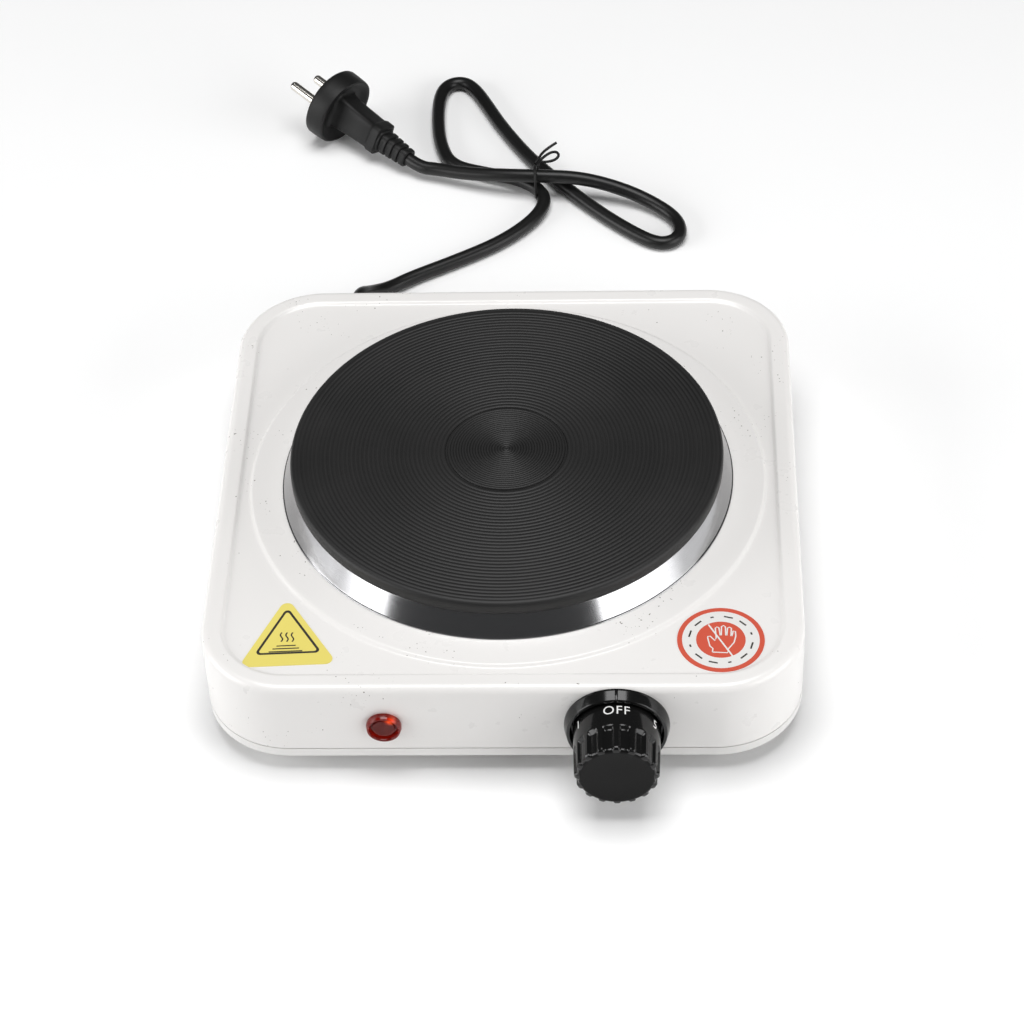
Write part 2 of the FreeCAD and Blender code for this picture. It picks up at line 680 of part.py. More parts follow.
def thermostat():
    """Bracket, ceramic block, shaft, bimetal strip and contacts behind the front wall."""
    inside = "- half_side + sheet_wall"
    plate = block("bracket_plate", "42", "1.2", "24", "knob_x", inside + " + 0.6", "axis_z - 12")
    holes = [rod("shaft_hole", "shaft_radius + 1", "6", "knob_x", inside + " + 3", "axis_z", FACE_FRONT)]
    for name, side in (("left", "- 15"), ("right", "+ 15")):
        holes.append(rod(name + "_hole", "1.5", "6", "knob_x " + side, inside + " + 3", "axis_z", FACE_FRONT))
    keep(cut("stat_bracket", plate, *holes), "thermostat_bracket")

    block_front = inside + " + 1.2"
    body = block("ceramic", "26", "18", "22", "knob_x", block_front + " + 9", "axis_z - 11")
    bore = rod("ceramic_bore", "shaft_radius + turning_gap", "20", "knob_x", block_front + " + 19", "axis_z",
               FACE_FRONT)
    keep(cut("stat_body", body, bore), "thermostat_body")

    shaft = turned("shaft", [
        ("0", "- 19"),
        ("shaft_radius - 1", "- 19"),
        ("shaft_radius", "- 18"),
        ("shaft_radius", "knob_back_gap + 11.5"),
        ("0", "knob_back_gap + 11.5"),
    ])
    keep(shaft, "thermostat_shaft", "knob_x", "- half_side", "axis_z", FACE_FRONT)

    screw = turned("stat_screw", [
        ("0", "1.8"),
        ("2.2", "1.8"),
        ("2.8", "0.9"),
        ("2.8", "0"),
        ("1.5", "0"),
        ("1.5", "- 4.4"),
        ("0", "- 4.4"),
    ])
    place(screw, "- 15")
    second = doc.addObject("Part::Mirroring", "stat_screw_right")
    second.Source = screw
    second.Normal = Vector(1, 0, 0)
    keep(group("stat_screws", screw, second), "thermostat_screws", "knob_x", "- half_side", "axis_z",
         FACE_FRONT)

    rear = block_front + " + 18"
    strip = block("strip", "5", "0.8", "22", "knob_x + 9", rear + " + 0.4", "axis_z - 11")
    keep(group("strip_group", strip), "bimetal_strip")
    holder = block("holder", "8", "5", "5.6", "knob_x", rear + " + 2.5", "axis_z - 14.8")
    keep(group("holder_group", holder), "leaf_holder")
    leaf = block("leaf_strip", "5", "0.6", "17.4", "knob_x", rear + " + 2.4", "axis_z - 8.8")
    button = rod("leaf_button", "1.8", "0.8", "knob_x", rear + " + 2.7", "axis_z + 6", FACE_BACK)
    keep(join("leaf_join", leaf, button), "contact_leaf")
    post = block("contact_post", "6", "1.2", "9", "knob_x", rear + " + 5.2", "axis_z + 2")
    arm = block("contact_arm", "6", "5.8", "1.2", "knob_x", rear + " + 2.9", "axis_z + 9.8")
    keep(join("contact_join", post, arm), "fixed_contact")
    tabs = []
    for name, side in (("tab_left", "- 17"), ("tab_right", "+ 17")):
        tabs.append(block(name, "8", "6", "0.8", "knob_x " + side, block_front + " + 9", "axis_z"))
    keep(group("tabs", *tabs), "thermostat_terminals")


def pilot_lamp():
    """Red lens with its barrel, the push-on ring that holds it, and the neon tube inside."""
    lens = turned("lens", [
        ("0", "lens_rise"),
        ("lens_radius * 0.6", "lens_rise"),
        ("lens_radius * 0.82", "lens_rise * 0.82"),
        ("lens_radius * 0.95", "lens_rise * 0.5"),
        ("lens_radius", "lens_rise * 0.15"),
        ("lens_radius", "0"),
        ("barrel_radius", "0"),
        ("barrel_radius", "- 14"),
        ("barrel_radius - 2", "- 14"),
        ("barrel_radius - 2", "0"),
        ("0", "0.8"),
    ])
    keep(lens, "lamp_lens", "lamp_x", "- half_side", "axis_z", FACE_FRONT)
    retainer = turned("retainer", [
        ("barrel_radius", "- sheet_wall"),
        ("lens_radius + 1.6", "- sheet_wall"),
        ("lens_radius + 1.6", "- 2 * sheet_wall"),
        ("barrel_radius", "- 2 * sheet_wall"),
    ])
    keep(retainer, "lamp_retainer", "lamp_x", "- half_side", "axis_z", FACE_FRONT)
    neon = turned("neon", [
        ("0", "- 1.2"),
        ("1.6", "- 1.6"),
        ("2.6", "- 3"),
        ("2.6", "- 15"),
        ("0", "- 15"),
    ])
    keep(neon, "neon_tube", "lamp_x", "- half_side", "axis_z", FACE_FRONT)


# ---------------------------------------------------------------- feet, posts and labels
def feet():
    """Four rubber feet, the screws in them, and the posts inside that the screws bite into."""
    corners = [("front_left", "- foot_place", "- foot_place"), ("front_right", "foot_place", "- foot_place"),
               ("rear_left", "- foot_place", "foot_place"), ("rear_right", "foot_place", "foot_place")]
    for name, x, y in corners:
        foot = turned("foot_" + name, [
            ("4.4", "0"),
            ("foot_radius - 2", "0"),
            ("foot_radius - 1.2", "0.8"),
            ("foot_radius", "foot_height"),
            ("1.8", "foot_height"),
            ("1.8", "foot_height / 2"),
            ("4.4", "foot_height / 2"),
        ])
        keep(foot, "foot_" + name, x, y)
    screw = new_body("foot_screw")
    profile = sketch_on(screw, "XZ_Plane")
    outline(profile, [
        ("foot_place", "foot_height / 2 - 2.2"),
        ("foot_place + 2.8", "foot_height / 2 - 2.2"),
        ("foot_place + 3.8", "foot_height / 2 - 1"),
        ("foot_place + 3.8", "foot_height / 2"),
        ("foot_place + 1.6", "foot_height / 2"),
        ("foot_place + 1.6", "foot_height + 17"),
        ("foot_place", "foot_height + 18"),
    ])
    keep(spread(screw, profile), "foot_screws")
    post = new_body("screw_post")
    tube_profile = sketch_on(post, "XZ_Plane")
    outline(tube_profile, [
        ("foot_place + 1.66", "floor_z"),
        ("foot_place + 4", "floor_z"),
        ("foot_place + 4", "tray_under"),
        ("foot_place + 1.66", "tray_under"),
    ])
    keep(spread(post, tube_profile), "screw_posts")


def spread(body, profile):
    """Turn a profile about the upright line at foot_place, and repeat it at the four corners."""
    axis = profile.addGeometry(Part.LineSegment(Vector(size("foot_place"), 0, 0),
                                                Vector(size("foot_place"), 10, 0)), True)
    profile.addConstraint(Sketcher.Constraint("Vertical", axis))
    pin_point(profile, axis, 1, "foot_place", "0")
    rule(profile, "DistanceY", axis, 1, axis, 2, formula="10")
    feature = body.newObject("PartDesign::Revolution", body.Name + "_turn")
    feature.Profile = profile
    feature.ReferenceAxis = (profile, ["Axis0"])
    feature.Angle = 360
    doc.recompute()
    solids = []
    for quarter in range(4):
        copy = doc.addObject("Part::Feature", f"{body.Name}_{quarter}")
        shape = body.Shape.copy()
        shape.translate(Vector(0, size("foot_place"), 0))
        shape.rotate(Vector(), Vector(0, 0, 1), 90 * quarter)
        copy.Shape = shape
        solids.append(copy)
    return group(body.Name + "_four", *solids)


def labels():
    """Two thin stickers on the front corner panels, without any lettering."""
    apex, left, right = Vector(-91.2, -72.2, 0), Vector(-108.5, -112.3, 0), Vector(-67.3, -110.2, 0)
    edges = []
    corners = [left, right, apex]
    for before, here, after in zip(corners[-1:] + corners[:-1], corners, corners[1:] + corners[:1]):
        back = (before - here).normalize()
        ahead = (after - here).normalize()
        half = back.getAngle(ahead) / 2
        bend = 3.0
        centre = here + (back + ahead).normalize() * (bend / math.sin(half))
        first = here + back * (bend / math.tan(half))
        last = here + ahead * (bend / math.tan(half))
        nearest = centre + (here - centre).normalize() * bend
        edges.append(Part.Arc(first, nearest, last).toShape())
    runs = []
    for arc, follower in zip(edges, edges[1:] + edges[:1]):
        runs.append(arc)
        runs.append(Part.LineSegment(arc.Vertexes[-1].Point, follower.Vertexes[0].Point).toShape())
    face = Part.Face(Part.Wire(runs))
    triangle = doc.addObject("Part::Feature", "caution_triangle")
    triangle.Shape = face.extrude(Vector(0, 0, size("label_thick")))
    keep(triangle, "caution_triangle", z="panel_top")
    disc = rod("disc_label", "18.1", "label_thick", "90.9", "- 97.7")
    keep(group("disc_group", disc), "caution_disc", z="panel_top")


# ---------------------------------------------------------------- mains entry and wiring
def mains_entry():
    """Bushing moulded on the cord, the cord's inner end, its clamp, the terminal block and the earth screw."""
    bushing = turned("bushing", [
        ("cord_radius", "- 4.4"),
        ("cord_radius + 4.6", "- 4.4"),
        ("cord_radius + 4.6", "- sheet_wall - 0.1"),
        ("cord_radius + 3", "- sheet_wall - 0.1"),
        ("cord_radius + 3", "0"),
        ("cord_radius + 5", "0"),
        ("cord_radius + 4.6", "2.5"),
        ("cord_radius + 2.8", "2.5"),
        ("cord_radius + 1.4", "relief_length"),
        ("0", "relief_length"),
        ("0", "0"),
        ("cord_radius", "0"),
    ])
    keep(bushing, "cord_bushing", "cord_x", "half_side", "cord_axis_z", FACE_BACK)
    tail = rod("tail", "cord_radius", "30", "cord_x", "half_side", "cord_axis_z", FACE_FRONT)
    keep(group("tail_group", tail), "cord_tail")
    saddle = block("saddle", "26", "8", "cord_z + 5", "cord_x", "half_side - 24", "floor_z")
    saddle_bore = rod("saddle_bore", "cord_radius", "12", "cord_x", "half_side - 18", "cord_axis_z", FACE_FRONT)
    screw_bores = [rod(f"saddle_hole{i}", "1.3", "40", "cord_x " + side, "half_side - 24", "foot_height")
                   for i, side in enumerate(("- 9", "+ 9"))]
    keep(cut("clamp_saddle", saddle, saddle_bore, *screw_bores), "cord_clamp")
    screws = []
    for index, side in enumerate(("- 9", "+ 9")):
        shank = rod(f"clamp_shank{index}", "1.3", "cord_z + 4", "cord_x " + side, "half_side - 24",
                    "floor_z + 1")
        head = rod(f"clamp_head{index}", "2.6", "1.6", "cord_x " + side, "half_side - 24",
                   "floor_z + cord_z + 5")
        screws.append(join(f"clamp_screw{index}", shank, head))
    keep(group("clamp_screws", *screws), "cord_clamp_screws")
    body = block("terminals", "30", "16", "14", "cord_x + 4", "half_side - 56", "floor_z")
    ports = []
    for index, side in enumerate(("- 5", "+ 5")):
        ports.append(rod(f"port{index}", "1.9", "20", "cord_x + 4 " + side, "half_side - 46", "cord_axis_z",
                         FACE_FRONT))
        ports.append(rod(f"port_screw{index}", "1.6", "8", "cord_x + 4 " + side, "half_side - 56",
                         "floor_z + 10"))
    keep(cut("terminals_cut", body, *ports), "terminal_block")
    screw_shank = rod("earth_shank", "1.9", "6", "cord_x - 20", "half_side - 50", "floor_z")
    screw_head = rod("earth_head", "3.6", "2", "cord_x - 20", "half_side - 50", "floor_z + 6")
    keep(join("earth_join", screw_shank, screw_head), "earth_screw")


WIRES = {  # routes of the insulated leads, measured from the plate's axis and the table
    "wire_earth": [(-80.5, 95.4, 18), (-82, 90, 17.6), (-88, 83.5, 16), (-95.1, 77.8, 14.2)],
    "wire_line": [(-76, 95.4, 18.6), (-73.5, 90, 18.8), (-69.2, 84, 18.3), (-69, 76, 18)],
    "wire_neutral": [(-78.4, 95.4, 16.2), (-79.6, 90, 16.4), (-79.2, 84, 17.7), (-79, 76, 18)],
    "wire_switched": [(-69, 64, 18), (-68.6, 57, 17.8), (-60, 40, 16), (-38, 10, 14), (-10, -20, 14),
                      (20, -50, 15), (50, -76, 18), (68, -92, 22), (66, -101, 27), (65, -106, 29.2),
                      (65, -111.9, 29.2)],
    "wire_element": [(-79, 64, 18), (-78.6, 57, 18.2), (-66, 30, 19.5), (-40, 0, 20), (-10, -22, 21),
                     (8, -34, 22), (15, -42, 27), (15.7, -43.2, 33.4), (15.7, -43.2, 41.9)],
    "wire_return": [(31.6, -111.9, 29.2), (31.6, -105, 29.4), (30, -95, 29), (26, -80, 29),
                    (23.2, -67, 30.5), (22.6, -62, 35.4), (22.6, -62, 41.9)],
    "lamp_leads": [(-48.5, -110.9, 28.8), (-48.4, -104, 28.6), (-40, -94, 25), (-20, -86, 22),
                   (4, -86, 20), (18, -95, 21), (25, -101, 24.5), (28.2, -106, 28.4),
                   (28.2, -111.9, 29.2)],
}


def wiring():
    """Insulated leads between the cord, the terminal block, the thermostat, the element and the lamp."""
    shift = Vector(0, size("body_y"), 0)
    for node, route in WIRES.items():
        tube(node, [Vector(*point) + shift for point in route], size("wire_radius"))


# ---------------------------------------------------------------- free cord and its plug
PLUG_AXIS = Vector(-0.75, 0.63, 0.2)  # from the cord towards the pins
PLUG_SPREAD = Vector(0.531, 0.774, -0.346)  # from one pin to the other

# The cord's route from the bushing to the plug, in the frame of the whole object: it drops to the table,
# turns back under the tie, makes a loop to the left and a loop to the right, and comes back over itself.
CORD_ROUTE = [
    (-78, 165.1, 18), (-78, 176, 18), (-73, 187, 9.3), (-65, 196, 4.1), (-54, 205, 3.5), (-33, 217, 3.5),
    (-10, 232, 3.5), (7, 251, 3.5), (11.5, 267, 4.6), (-2, 280, 5), (-22, 287, 3.5), (-38.5, 293.5, 3.5),
    (-45, 312, 3.5),
    (-47.2, 335, 3.5), (-46.6, 354.5, 3.5), (-42.2, 363, 3.5), (-34.2, 364.4, 3.5), (-28, 357.8, 3.5),
    (-21, 343, 3.5), (-13, 325, 3.5), (1, 300, 3.5), (15, 280, 4.6), (37, 255, 3.5), (55, 237.5, 3.5),
    (66.9, 229, 3.5), (74.6, 230.4, 3.5), (79, 237.2, 3.5), (76.5, 249, 3.8), (64, 260, 5.5), (48, 267, 9),
    (28, 270.5, 13), (7, 271.5, 13.5), (-13, 275, 11.5), (-31, 280.5, 8.5), (-45.5, 286, 7.2),
    (-54, 287.96, 6.9), (-60, 293, 8.5),
]


def free_cord():
    points = [Vector(*point) for point in CORD_ROUTE]
    length, radii = tube("power_cord", points, size("cord_radius"))
    print("power cord length", round(length, 1), "arc radii", [round(radius, 1) for radius in radii])
    return points[-1]


def plug(cord_end):
    """Round two-pin plug at the cord's end; local +Z runs from the cord to the pins."""
    axis = Vector(PLUG_AXIS).normalize()
    spread_way = (PLUG_SPREAD - axis * PLUG_SPREAD.dot(axis)).normalize()
    turn = Rotation(spread_way, Vector(), axis, "ZXY")

    def set_down(thing, node):
        thing.Label = node
        thing.Placement = Placement(cord_end, turn)
        NODES.append(thing)

    relief = turned("plug_sleeve", [
        ("0", "0"), ("4.6", "0"), ("4.7", "3"), ("3.9", "3"), ("3.9", "4.6"), ("4.9", "4.6"), ("5.0", "7"),
        ("3.9", "7"), ("3.9", "8.6"), ("5.3", "8.6"), ("5.4", "11"), ("3.9", "11"), ("3.9", "12.6"),
        ("5.7", "12.6"), ("6.2", "18"), ("0", "18"),
    ])
    set_down(relief, "plug_relief")
    head = turned("plug_head", [
        ("0", "30"), ("8", "34"), ("13", "38"), ("plug_radius - 2", "43"), ("plug_radius", "49.5"),
        ("plug_radius", "54.6"), ("plug_radius - 1.4", "56"), ("0", "56"),
    ])
    neck = sketch_on(head, "XY_Plane", "18")
    rectangle(neck, "13", "15")
    pad(head, neck, "20")
    for side in ("1", "- 1"):
        recess = sketch_on(head, "XY_Plane", "34")
        rectangle(recess, "9", "5", "0", f"{side} * plug_radius")
        pocket(head, recess, "16", backwards=True)
    set_down(head, "plug_body")
    pins = []
    for index, side in enumerate(("- pin_spacing / 2", "pin_spacing / 2")):
        pin = turned(f"pin{index}", [
            ("0", "56"), ("pin_radius", "56"), ("pin_radius", "54.5 + pin_length"),
            ("pin_radius - 0.5", "55.6 + pin_length"), ("pin_radius - 1.4", "56 + pin_length"),
            ("0", "56 + pin_length"),
        ])
        pins.append(place(pin, side))
    set_down(group("pins", *pins), "plug_pins")


def cord_tie():
    """Wire tie round two strands of the cord: an upright loop across them."""
    centre = Vector(6, 272, 9.2)
    wire = 0.6
    bend = 6.8
    up = Vector(0, 0, 1.75)
    side = Vector(0, bend, 0)
    over = Vector(0, 0, bend)
    edges = [
        Part.LineSegment(centre + side - up, centre + side + up).toShape(),
        Part.Arc(centre + side + up, centre + up + over, centre - side + up).toShape(),
        Part.LineSegment(centre - side + up, centre - side - up).toShape(),
        Part.Arc(centre - side - up, centre - up - over, centre + side - up).toShape(),
    ]
    tube("cord_tie", None, wire, Part.Wire(edges))


# ---------------------------------------------------------------- build and write
def build():
    top_shell()
    base_pan()
    plate_and_ring()
    heating_element()
    clamp()
    control_knob()
    knob_bezel()
    thermostat()
    pilot_lamp()
    feet()
    labels()
    mains_entry()
    wiring()
    plug(free_cord())
    cord_tie()
    doc.recompute()


def write():
    """Refuse a failed feature or a bad shape, then write one file for each sub-part."""
    for item in doc.Objects:
        if {"Invalid", "Error"} & set(item.State):
            raise ValueError(f"{item.Label}: {item.State}")
    for node in NODES:
        if node.Shape.isNull() or not node.Shape.isValid() or not node.Shape.Solids:
            raise ValueError(f"{node.Label}: bad shape")
    os.makedirs("parts", exist_ok=True)
    for node in NODES:
        node.Shape.exportStep(f"parts/{node.Label}.step")
    print(len(NODES), "nodes written")


build()
write()
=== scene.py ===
import bmesh
import bpy
import math
from mathutils import Matrix, Vector


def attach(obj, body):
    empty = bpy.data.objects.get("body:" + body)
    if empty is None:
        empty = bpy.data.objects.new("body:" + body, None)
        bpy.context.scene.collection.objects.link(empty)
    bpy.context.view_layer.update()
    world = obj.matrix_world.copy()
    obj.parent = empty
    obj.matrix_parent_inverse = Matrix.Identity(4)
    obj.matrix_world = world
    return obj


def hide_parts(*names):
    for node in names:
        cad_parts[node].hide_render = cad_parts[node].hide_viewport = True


# Hot plate burner.  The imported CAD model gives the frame: metres, +Z up, the knob faces -Y and the
# origin is on the table.  Lengths below are millimetres, and are turned into metres as meshes are made.

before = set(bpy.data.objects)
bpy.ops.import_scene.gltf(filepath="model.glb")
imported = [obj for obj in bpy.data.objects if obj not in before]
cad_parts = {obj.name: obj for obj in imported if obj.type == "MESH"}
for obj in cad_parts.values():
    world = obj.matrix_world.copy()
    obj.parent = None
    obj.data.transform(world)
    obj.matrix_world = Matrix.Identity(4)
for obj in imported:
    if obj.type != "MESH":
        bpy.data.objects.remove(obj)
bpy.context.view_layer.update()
mm = 0.001
bodyBack = 14.3  # the plate's axis, behind the origin
frontFace = -126 + bodyBack
axisHeight = 28.8  # the knob and the lamp
print("stage: frame loaded")


camera = {
    "place": (59.7, -950.2, 975.2),
    "right": (0.9990, 0.0267, -0.0346),
    "up": (0.0060, 0.7008, 0.7133),
    "lens": 107.55,
    "sensor": 36.0,
}


def addCamera():
    right = Vector(camera["right"]).normalized()
    up = Vector(camera["up"])
    up = (up - right * up.dot(right)).normalized()
    back = right.cross(up)
    data = bpy.data.cameras.new("camera")
    data.lens = camera["lens"]
    data.sensor_width = camera["sensor"]
    data.sensor_fit = "HORIZONTAL"
    data.clip_start = 0.01
    data.clip_end = 50
    obj = bpy.data.objects.new("camera", data)
    turn = Matrix((right, up, back)).transposed().to_4x4()
    obj.matrix_world = Matrix.Translation(Vector(camera["place"]) * mm) @ turn
    bpy.context.scene.collection.objects.link(obj)
    bpy.context.scene.camera = obj


addCamera()
print("stage: camera")


class Flow:  # one output socket that can be added to, multiplied and so on
    def __init__(self, tree, socket):
        self.tree = tree
        self.socket = socket

    def node(self, kind, inputs, output=0, **settings):
        made = self.tree.nodes.new(kind)
        for name, value in settings.items():
            setattr(made, name, value)
        for key, value in inputs.items():
            target = made.inputs[key]
            if isinstance(value, Flow):
                self.tree.links.new(value.socket, target)
            else:
                target.default_value = value
        return Flow(self.tree, made.outputs[output])

    def maths(self, operation, other=0.0, third=0.0, clamp=False):
        inputs = {0: self, 1: other, 2: third}
        return self.node("ShaderNodeMath", inputs, operation=operation, use_clamp=clamp)

    def __add__(self, other):
        return self.maths("ADD", other)

    def __radd__(self, other):
        return self.maths("ADD", other)

    def __sub__(self, other):
        return self.maths("SUBTRACT", other)

    def __rsub__(self, other):
        return self.maths("MULTIPLY", -1.0).maths("ADD", other)

    def __mul__(self, other):
        return self.maths("MULTIPLY", other)

    def __rmul__(self, other):
        return self.maths("MULTIPLY", other)

    def above(self, low, high):
        inputs = {"Value": self, "From Min": low, "From Max": high}
        return self.node("ShaderNodeMapRange", inputs, interpolation_type="SMOOTHSTEP")

    def blend(self, first, second):
        inputs = {0: self}
        for slot, value in ((6, first), (7, second)):
            inputs[slot] = value if isinstance(value, Flow) else (*value, 1)
        return self.node("ShaderNodeMix", inputs, output=2, data_type="RGBA")

    def noise(self, scale, detail=2.0):
        inputs = {"Vector": self, "Scale": scale, "Detail": detail}
        return self.node("ShaderNodeTexNoise", inputs)


def newMaterial(name):
    material = bpy.data.materials.new(name)
    material.use_nodes = True
    tree = material.node_tree
    tree.nodes.clear()
    output = tree.nodes.new("ShaderNodeOutputMaterial")
    shader = tree.nodes.new("ShaderNodeBsdfPrincipled")
    tree.links.new(shader.outputs[0], output.inputs["Surface"])
    place = Flow(tree, tree.nodes.new("ShaderNodeTexCoord").outputs["Object"])
    return material, shader, place


def feed(material, shader, name, flow):
    material.node_tree.links.new(flow.socket, shader.inputs[name])


def surface(name, color, shade, rough, spread=0.05, metal=0.0, coat=0.0, grain=400.0, bump=0.0, broad=12.0,
            **constants):
    # A plain procedural finish: tone drifts between two colours, and roughness and relief have a grain
    material, shader, place = newMaterial(name)
    drift = place.noise(broad, 3.0)
    fine = place.noise(grain, 4.0)
    feed(material, shader, "Base Color", drift.above(0.3, 0.7).blend(color, shade))
    feed(material, shader, "Roughness", fine * (2 * spread) + (rough - spread))
    shader.inputs["Metallic"].default_value = metal
    shader.inputs["Coat Weight"].default_value = coat
    for key, value in constants.items():
        shader.inputs[key.replace("_", " ")].default_value = value
    if bump:
        inputs = {"Height": fine, "Strength": 1.0, "Distance": bump * mm}
        feed(material, shader, "Normal", place.node("ShaderNodeBump", inputs))
    return material


def enamelSurface():
    # White gloss enamel with a faint orange peel and a few dark specks
    material, shader, place = newMaterial("whiteEnamel")
    drift = place.noise(7.0, 3.0).above(0.3, 0.7).blend((0.80, 0.785, 0.768), (0.83, 0.815, 0.80))
    speck = place.noise(1100.0, 0.0).above(0.80, 0.815) * place.noise(52.0, 1.0).above(0.60, 0.62)
    feed(material, shader, "Base Color", speck.blend(drift, (0.18, 0.16, 0.14)))
    feed(material, shader, "Roughness", place.noise(90.0, 4.0) * 0.10 + 0.24)
    shader.inputs["Coat Weight"].default_value = 0.25
    shader.inputs["Coat Roughness"].default_value = 0.12
    relief = place.noise(260.0, 2.0) * 0.6 + place.noise(38.0, 2.0)
    inputs = {"Height": relief, "Strength": 0.5, "Distance": 0.00006}
    feed(material, shader, "Normal", place.node("ShaderNodeBump", inputs))
    return material


def turnedSurface(name, color, shade, rough, metal, lines, bump, **constants):
    # A finish with fine lines that run round the plate's axis
    material, shader, place = newMaterial(name)
    parts = place.node("ShaderNodeSeparateXYZ", {0: place})
    x = parts
    y = Flow(place.tree, parts.socket.node.outputs[1]) - bodyBack * mm
    z = Flow(place.tree, parts.socket.node.outputs[2])
    reach = (x * x + y * y).maths("SQRT")
    ring = place.node("ShaderNodeCombineXYZ", {0: reach * lines, 1: z * lines, 2: 0.0})
    groove = ring.noise(1.0, 3.0)
    cloud = place.noise(26.0, 4.0)
    feed(material, shader, "Base Color", (groove * 0.5 + cloud * 0.5).above(0.3, 0.7).blend(color, shade))
    feed(material, shader, "Roughness", groove * 0.12 + cloud * 0.10 + (rough - 0.11))
    shader.inputs["Metallic"].default_value = metal
    for key, value in constants.items():
        shader.inputs[key.replace("_", " ")].default_value = value
    inputs = {"Height": groove, "Strength": 1.0, "Distance": bump * mm}
    feed(material, shader, "Normal", place.node("ShaderNodeBump", inputs))
    return material


def lensSurface(name, color, shade, glintLevel):
    # Clear red plastic with a painted orange glint: a small emissive spot towards its upper right stands in
    # for a highlight on the unlit lamp
    material, shader, place = newMaterial(name)
    drift = place.noise(300.0, 2.0)
    feed(material, shader, "Base Color", drift.above(0.3, 0.7).blend(color, shade))
    feed(material, shader, "Roughness", drift * 0.05 + 0.05)
    # painted highlight: where the orange emission sits, a glow on the unlit lens in place of a real glint
    spot = (-0.0455, frontFace * mm - 0.002, 0.0333)
    away = place.node("ShaderNodeVectorMath", {0: place, 1: spot}, output=1, operation="DISTANCE")
    paintedGlint = away.above(0.0030, 0.0004) * glintLevel
    tone = paintedGlint.blend((0.0, 0.0, 0.0), (1.0, 0.10, 0.01))
    feed(material, shader, "Emission Color", tone)
    shader.inputs["Emission Strength"].default_value = 0.8
    shader.inputs["Transmission Weight"].default_value = 0.6
    shader.inputs["IOR"].default_value = 1.49
    shader.inputs["Specular IOR Level"].default_value = 0.3
    return material


paint = {
    "enamel": enamelSurface(),
    "panWhite": surface("panWhite", (0.80, 0.79, 0.775), (0.76, 0.75, 0.735), 0.3, coat=0.2, bump=0.01),
    "iron": turnedSurface("castIron", (0.008, 0.008, 0.008), (0.014, 0.0135, 0.0135), 0.50, 0.0, 2600.0, 0.02,
                          Specular_IOR_Level=0.38),
    "steel": turnedSurface("brightSteel", (0.50, 0.50, 0.51), (0.42, 0.42, 0.43), 0.15, 1.0, 5200.0, 0.0010),
    "gloss": surface("glossBlack", (0.004, 0.004, 0.004), (0.006, 0.006, 0.006), 0.15, 0.03, grain=300.0,
                     bump=0.003, Specular_IOR_Level=0.42),
    "satin": surface("satinBlack", (0.005, 0.005, 0.005), (0.007, 0.007, 0.007), 0.44, 0.05, grain=1500.0,
                     bump=0.02, Specular_IOR_Level=0.12),
    # both lens finishes carry the painted orange glint, the pearls a weaker one
    "lamp": lensSurface("lampRed", (0.42, 0.010, 0.003), (0.30, 0.006, 0.002), 1.0),
    "pearl": lensSurface("lampPearl", (0.34, 0.012, 0.004), (0.22, 0.006, 0.002), 0.35),
    "diffuser": surface("lampDiffuser", (0.30, 0.014, 0.006), (0.10, 0.005, 0.003), 0.35, 0.05, bump=0.02),
    "rubber": surface("footRubber", (0.022, 0.022, 0.022), (0.030, 0.030, 0.029), 0.62, 0.06, bump=0.02),
    "vinyl": surface("cordVinyl", (0.005, 0.005, 0.005), (0.008, 0.008, 0.008), 0.36, 0.05, grain=700.0,
                     bump=0.012, Specular_IOR_Level=0.35),
    "plug": surface("plugVinyl", (0.006, 0.006, 0.006), (0.009, 0.009, 0.009), 0.50, 0.06, grain=1300.0,
                    bump=0.03, Specular_IOR_Level=0.3),
    "nickel": surface("pinNickel", (0.80, 0.77, 0.72), (0.72, 0.69, 0.64), 0.20, 0.05, metal=1.0, bump=0.003),
    "print": surface("whitePrint", (0.85, 0.85, 0.84), (0.78, 0.78, 0.77), 0.45),
    "ink": surface("darkInk", (0.022, 0.020, 0.016), (0.032, 0.029, 0.023), 0.42),
    "yellow": surface("labelYellow", (0.80, 0.69, 0.17), (0.76, 0.65, 0.15), 0.36, grain=900.0, bump=0.004),
    "red": surface("labelRed", (0.66, 0.105, 0.06), (0.61, 0.09, 0.05), 0.36, grain=900.0, bump=0.004),
    "paper": surface("labelWhite", (0.80, 0.79, 0.77), (0.76, 0.75, 0.73), 0.38),
    "zinc": surface("zincSheet", (0.55, 0.56, 0.58), (0.46, 0.47, 0.49), 0.34, metal=1.0, broad=60.0,
                    bump=0.004),
    "sheath": surface("steelSheath", (0.20, 0.19, 0.18), (0.30, 0.28, 0.26), 0.45, metal=1.0, bump=0.01),
    "plainSteel": surface("plainSteel", (0.58, 0.58, 0.59), (0.50, 0.50, 0.50), 0.28, metal=1.0, bump=0.003),
    "ceramic": surface("ceramic", (0.74, 0.70, 0.61), (0.68, 0.64, 0.55), 0.5, bump=0.03),
    "board": surface("mineralBoard", (0.50, 0.46, 0.38), (0.42, 0.38, 0.31), 0.85, bump=0.08),
    "brass": surface("brass", (0.68, 0.48, 0.20), (0.60, 0.41, 0.16), 0.30, metal=1.0, bump=0.003),
    "strip": surface("bimetal", (0.50, 0.45, 0.38), (0.44, 0.39, 0.33), 0.38, metal=1.0, bump=0.004),
    "glassTube": surface("neonGlass", (0.85, 0.80, 0.72), (0.80, 0.74, 0.66), 0.08, Transmission_Weight=0.8),
    "greenWire": surface("greenWire", (0.16, 0.40, 0.06), (0.60, 0.52, 0.05), 0.4, broad=90.0, bump=0.01),
    "brownWire": surface("brownWire", (0.16, 0.07, 0.03), (0.12, 0.05, 0.02), 0.4, bump=0.01),
    "blueWire": surface("blueWire", (0.05, 0.16, 0.45), (0.04, 0.12, 0.38), 0.4, bump=0.01),
    "paleWire": surface("paleWire", (0.70, 0.67, 0.58), (0.62, 0.59, 0.51), 0.6, bump=0.03),
}
print("stage: materials")


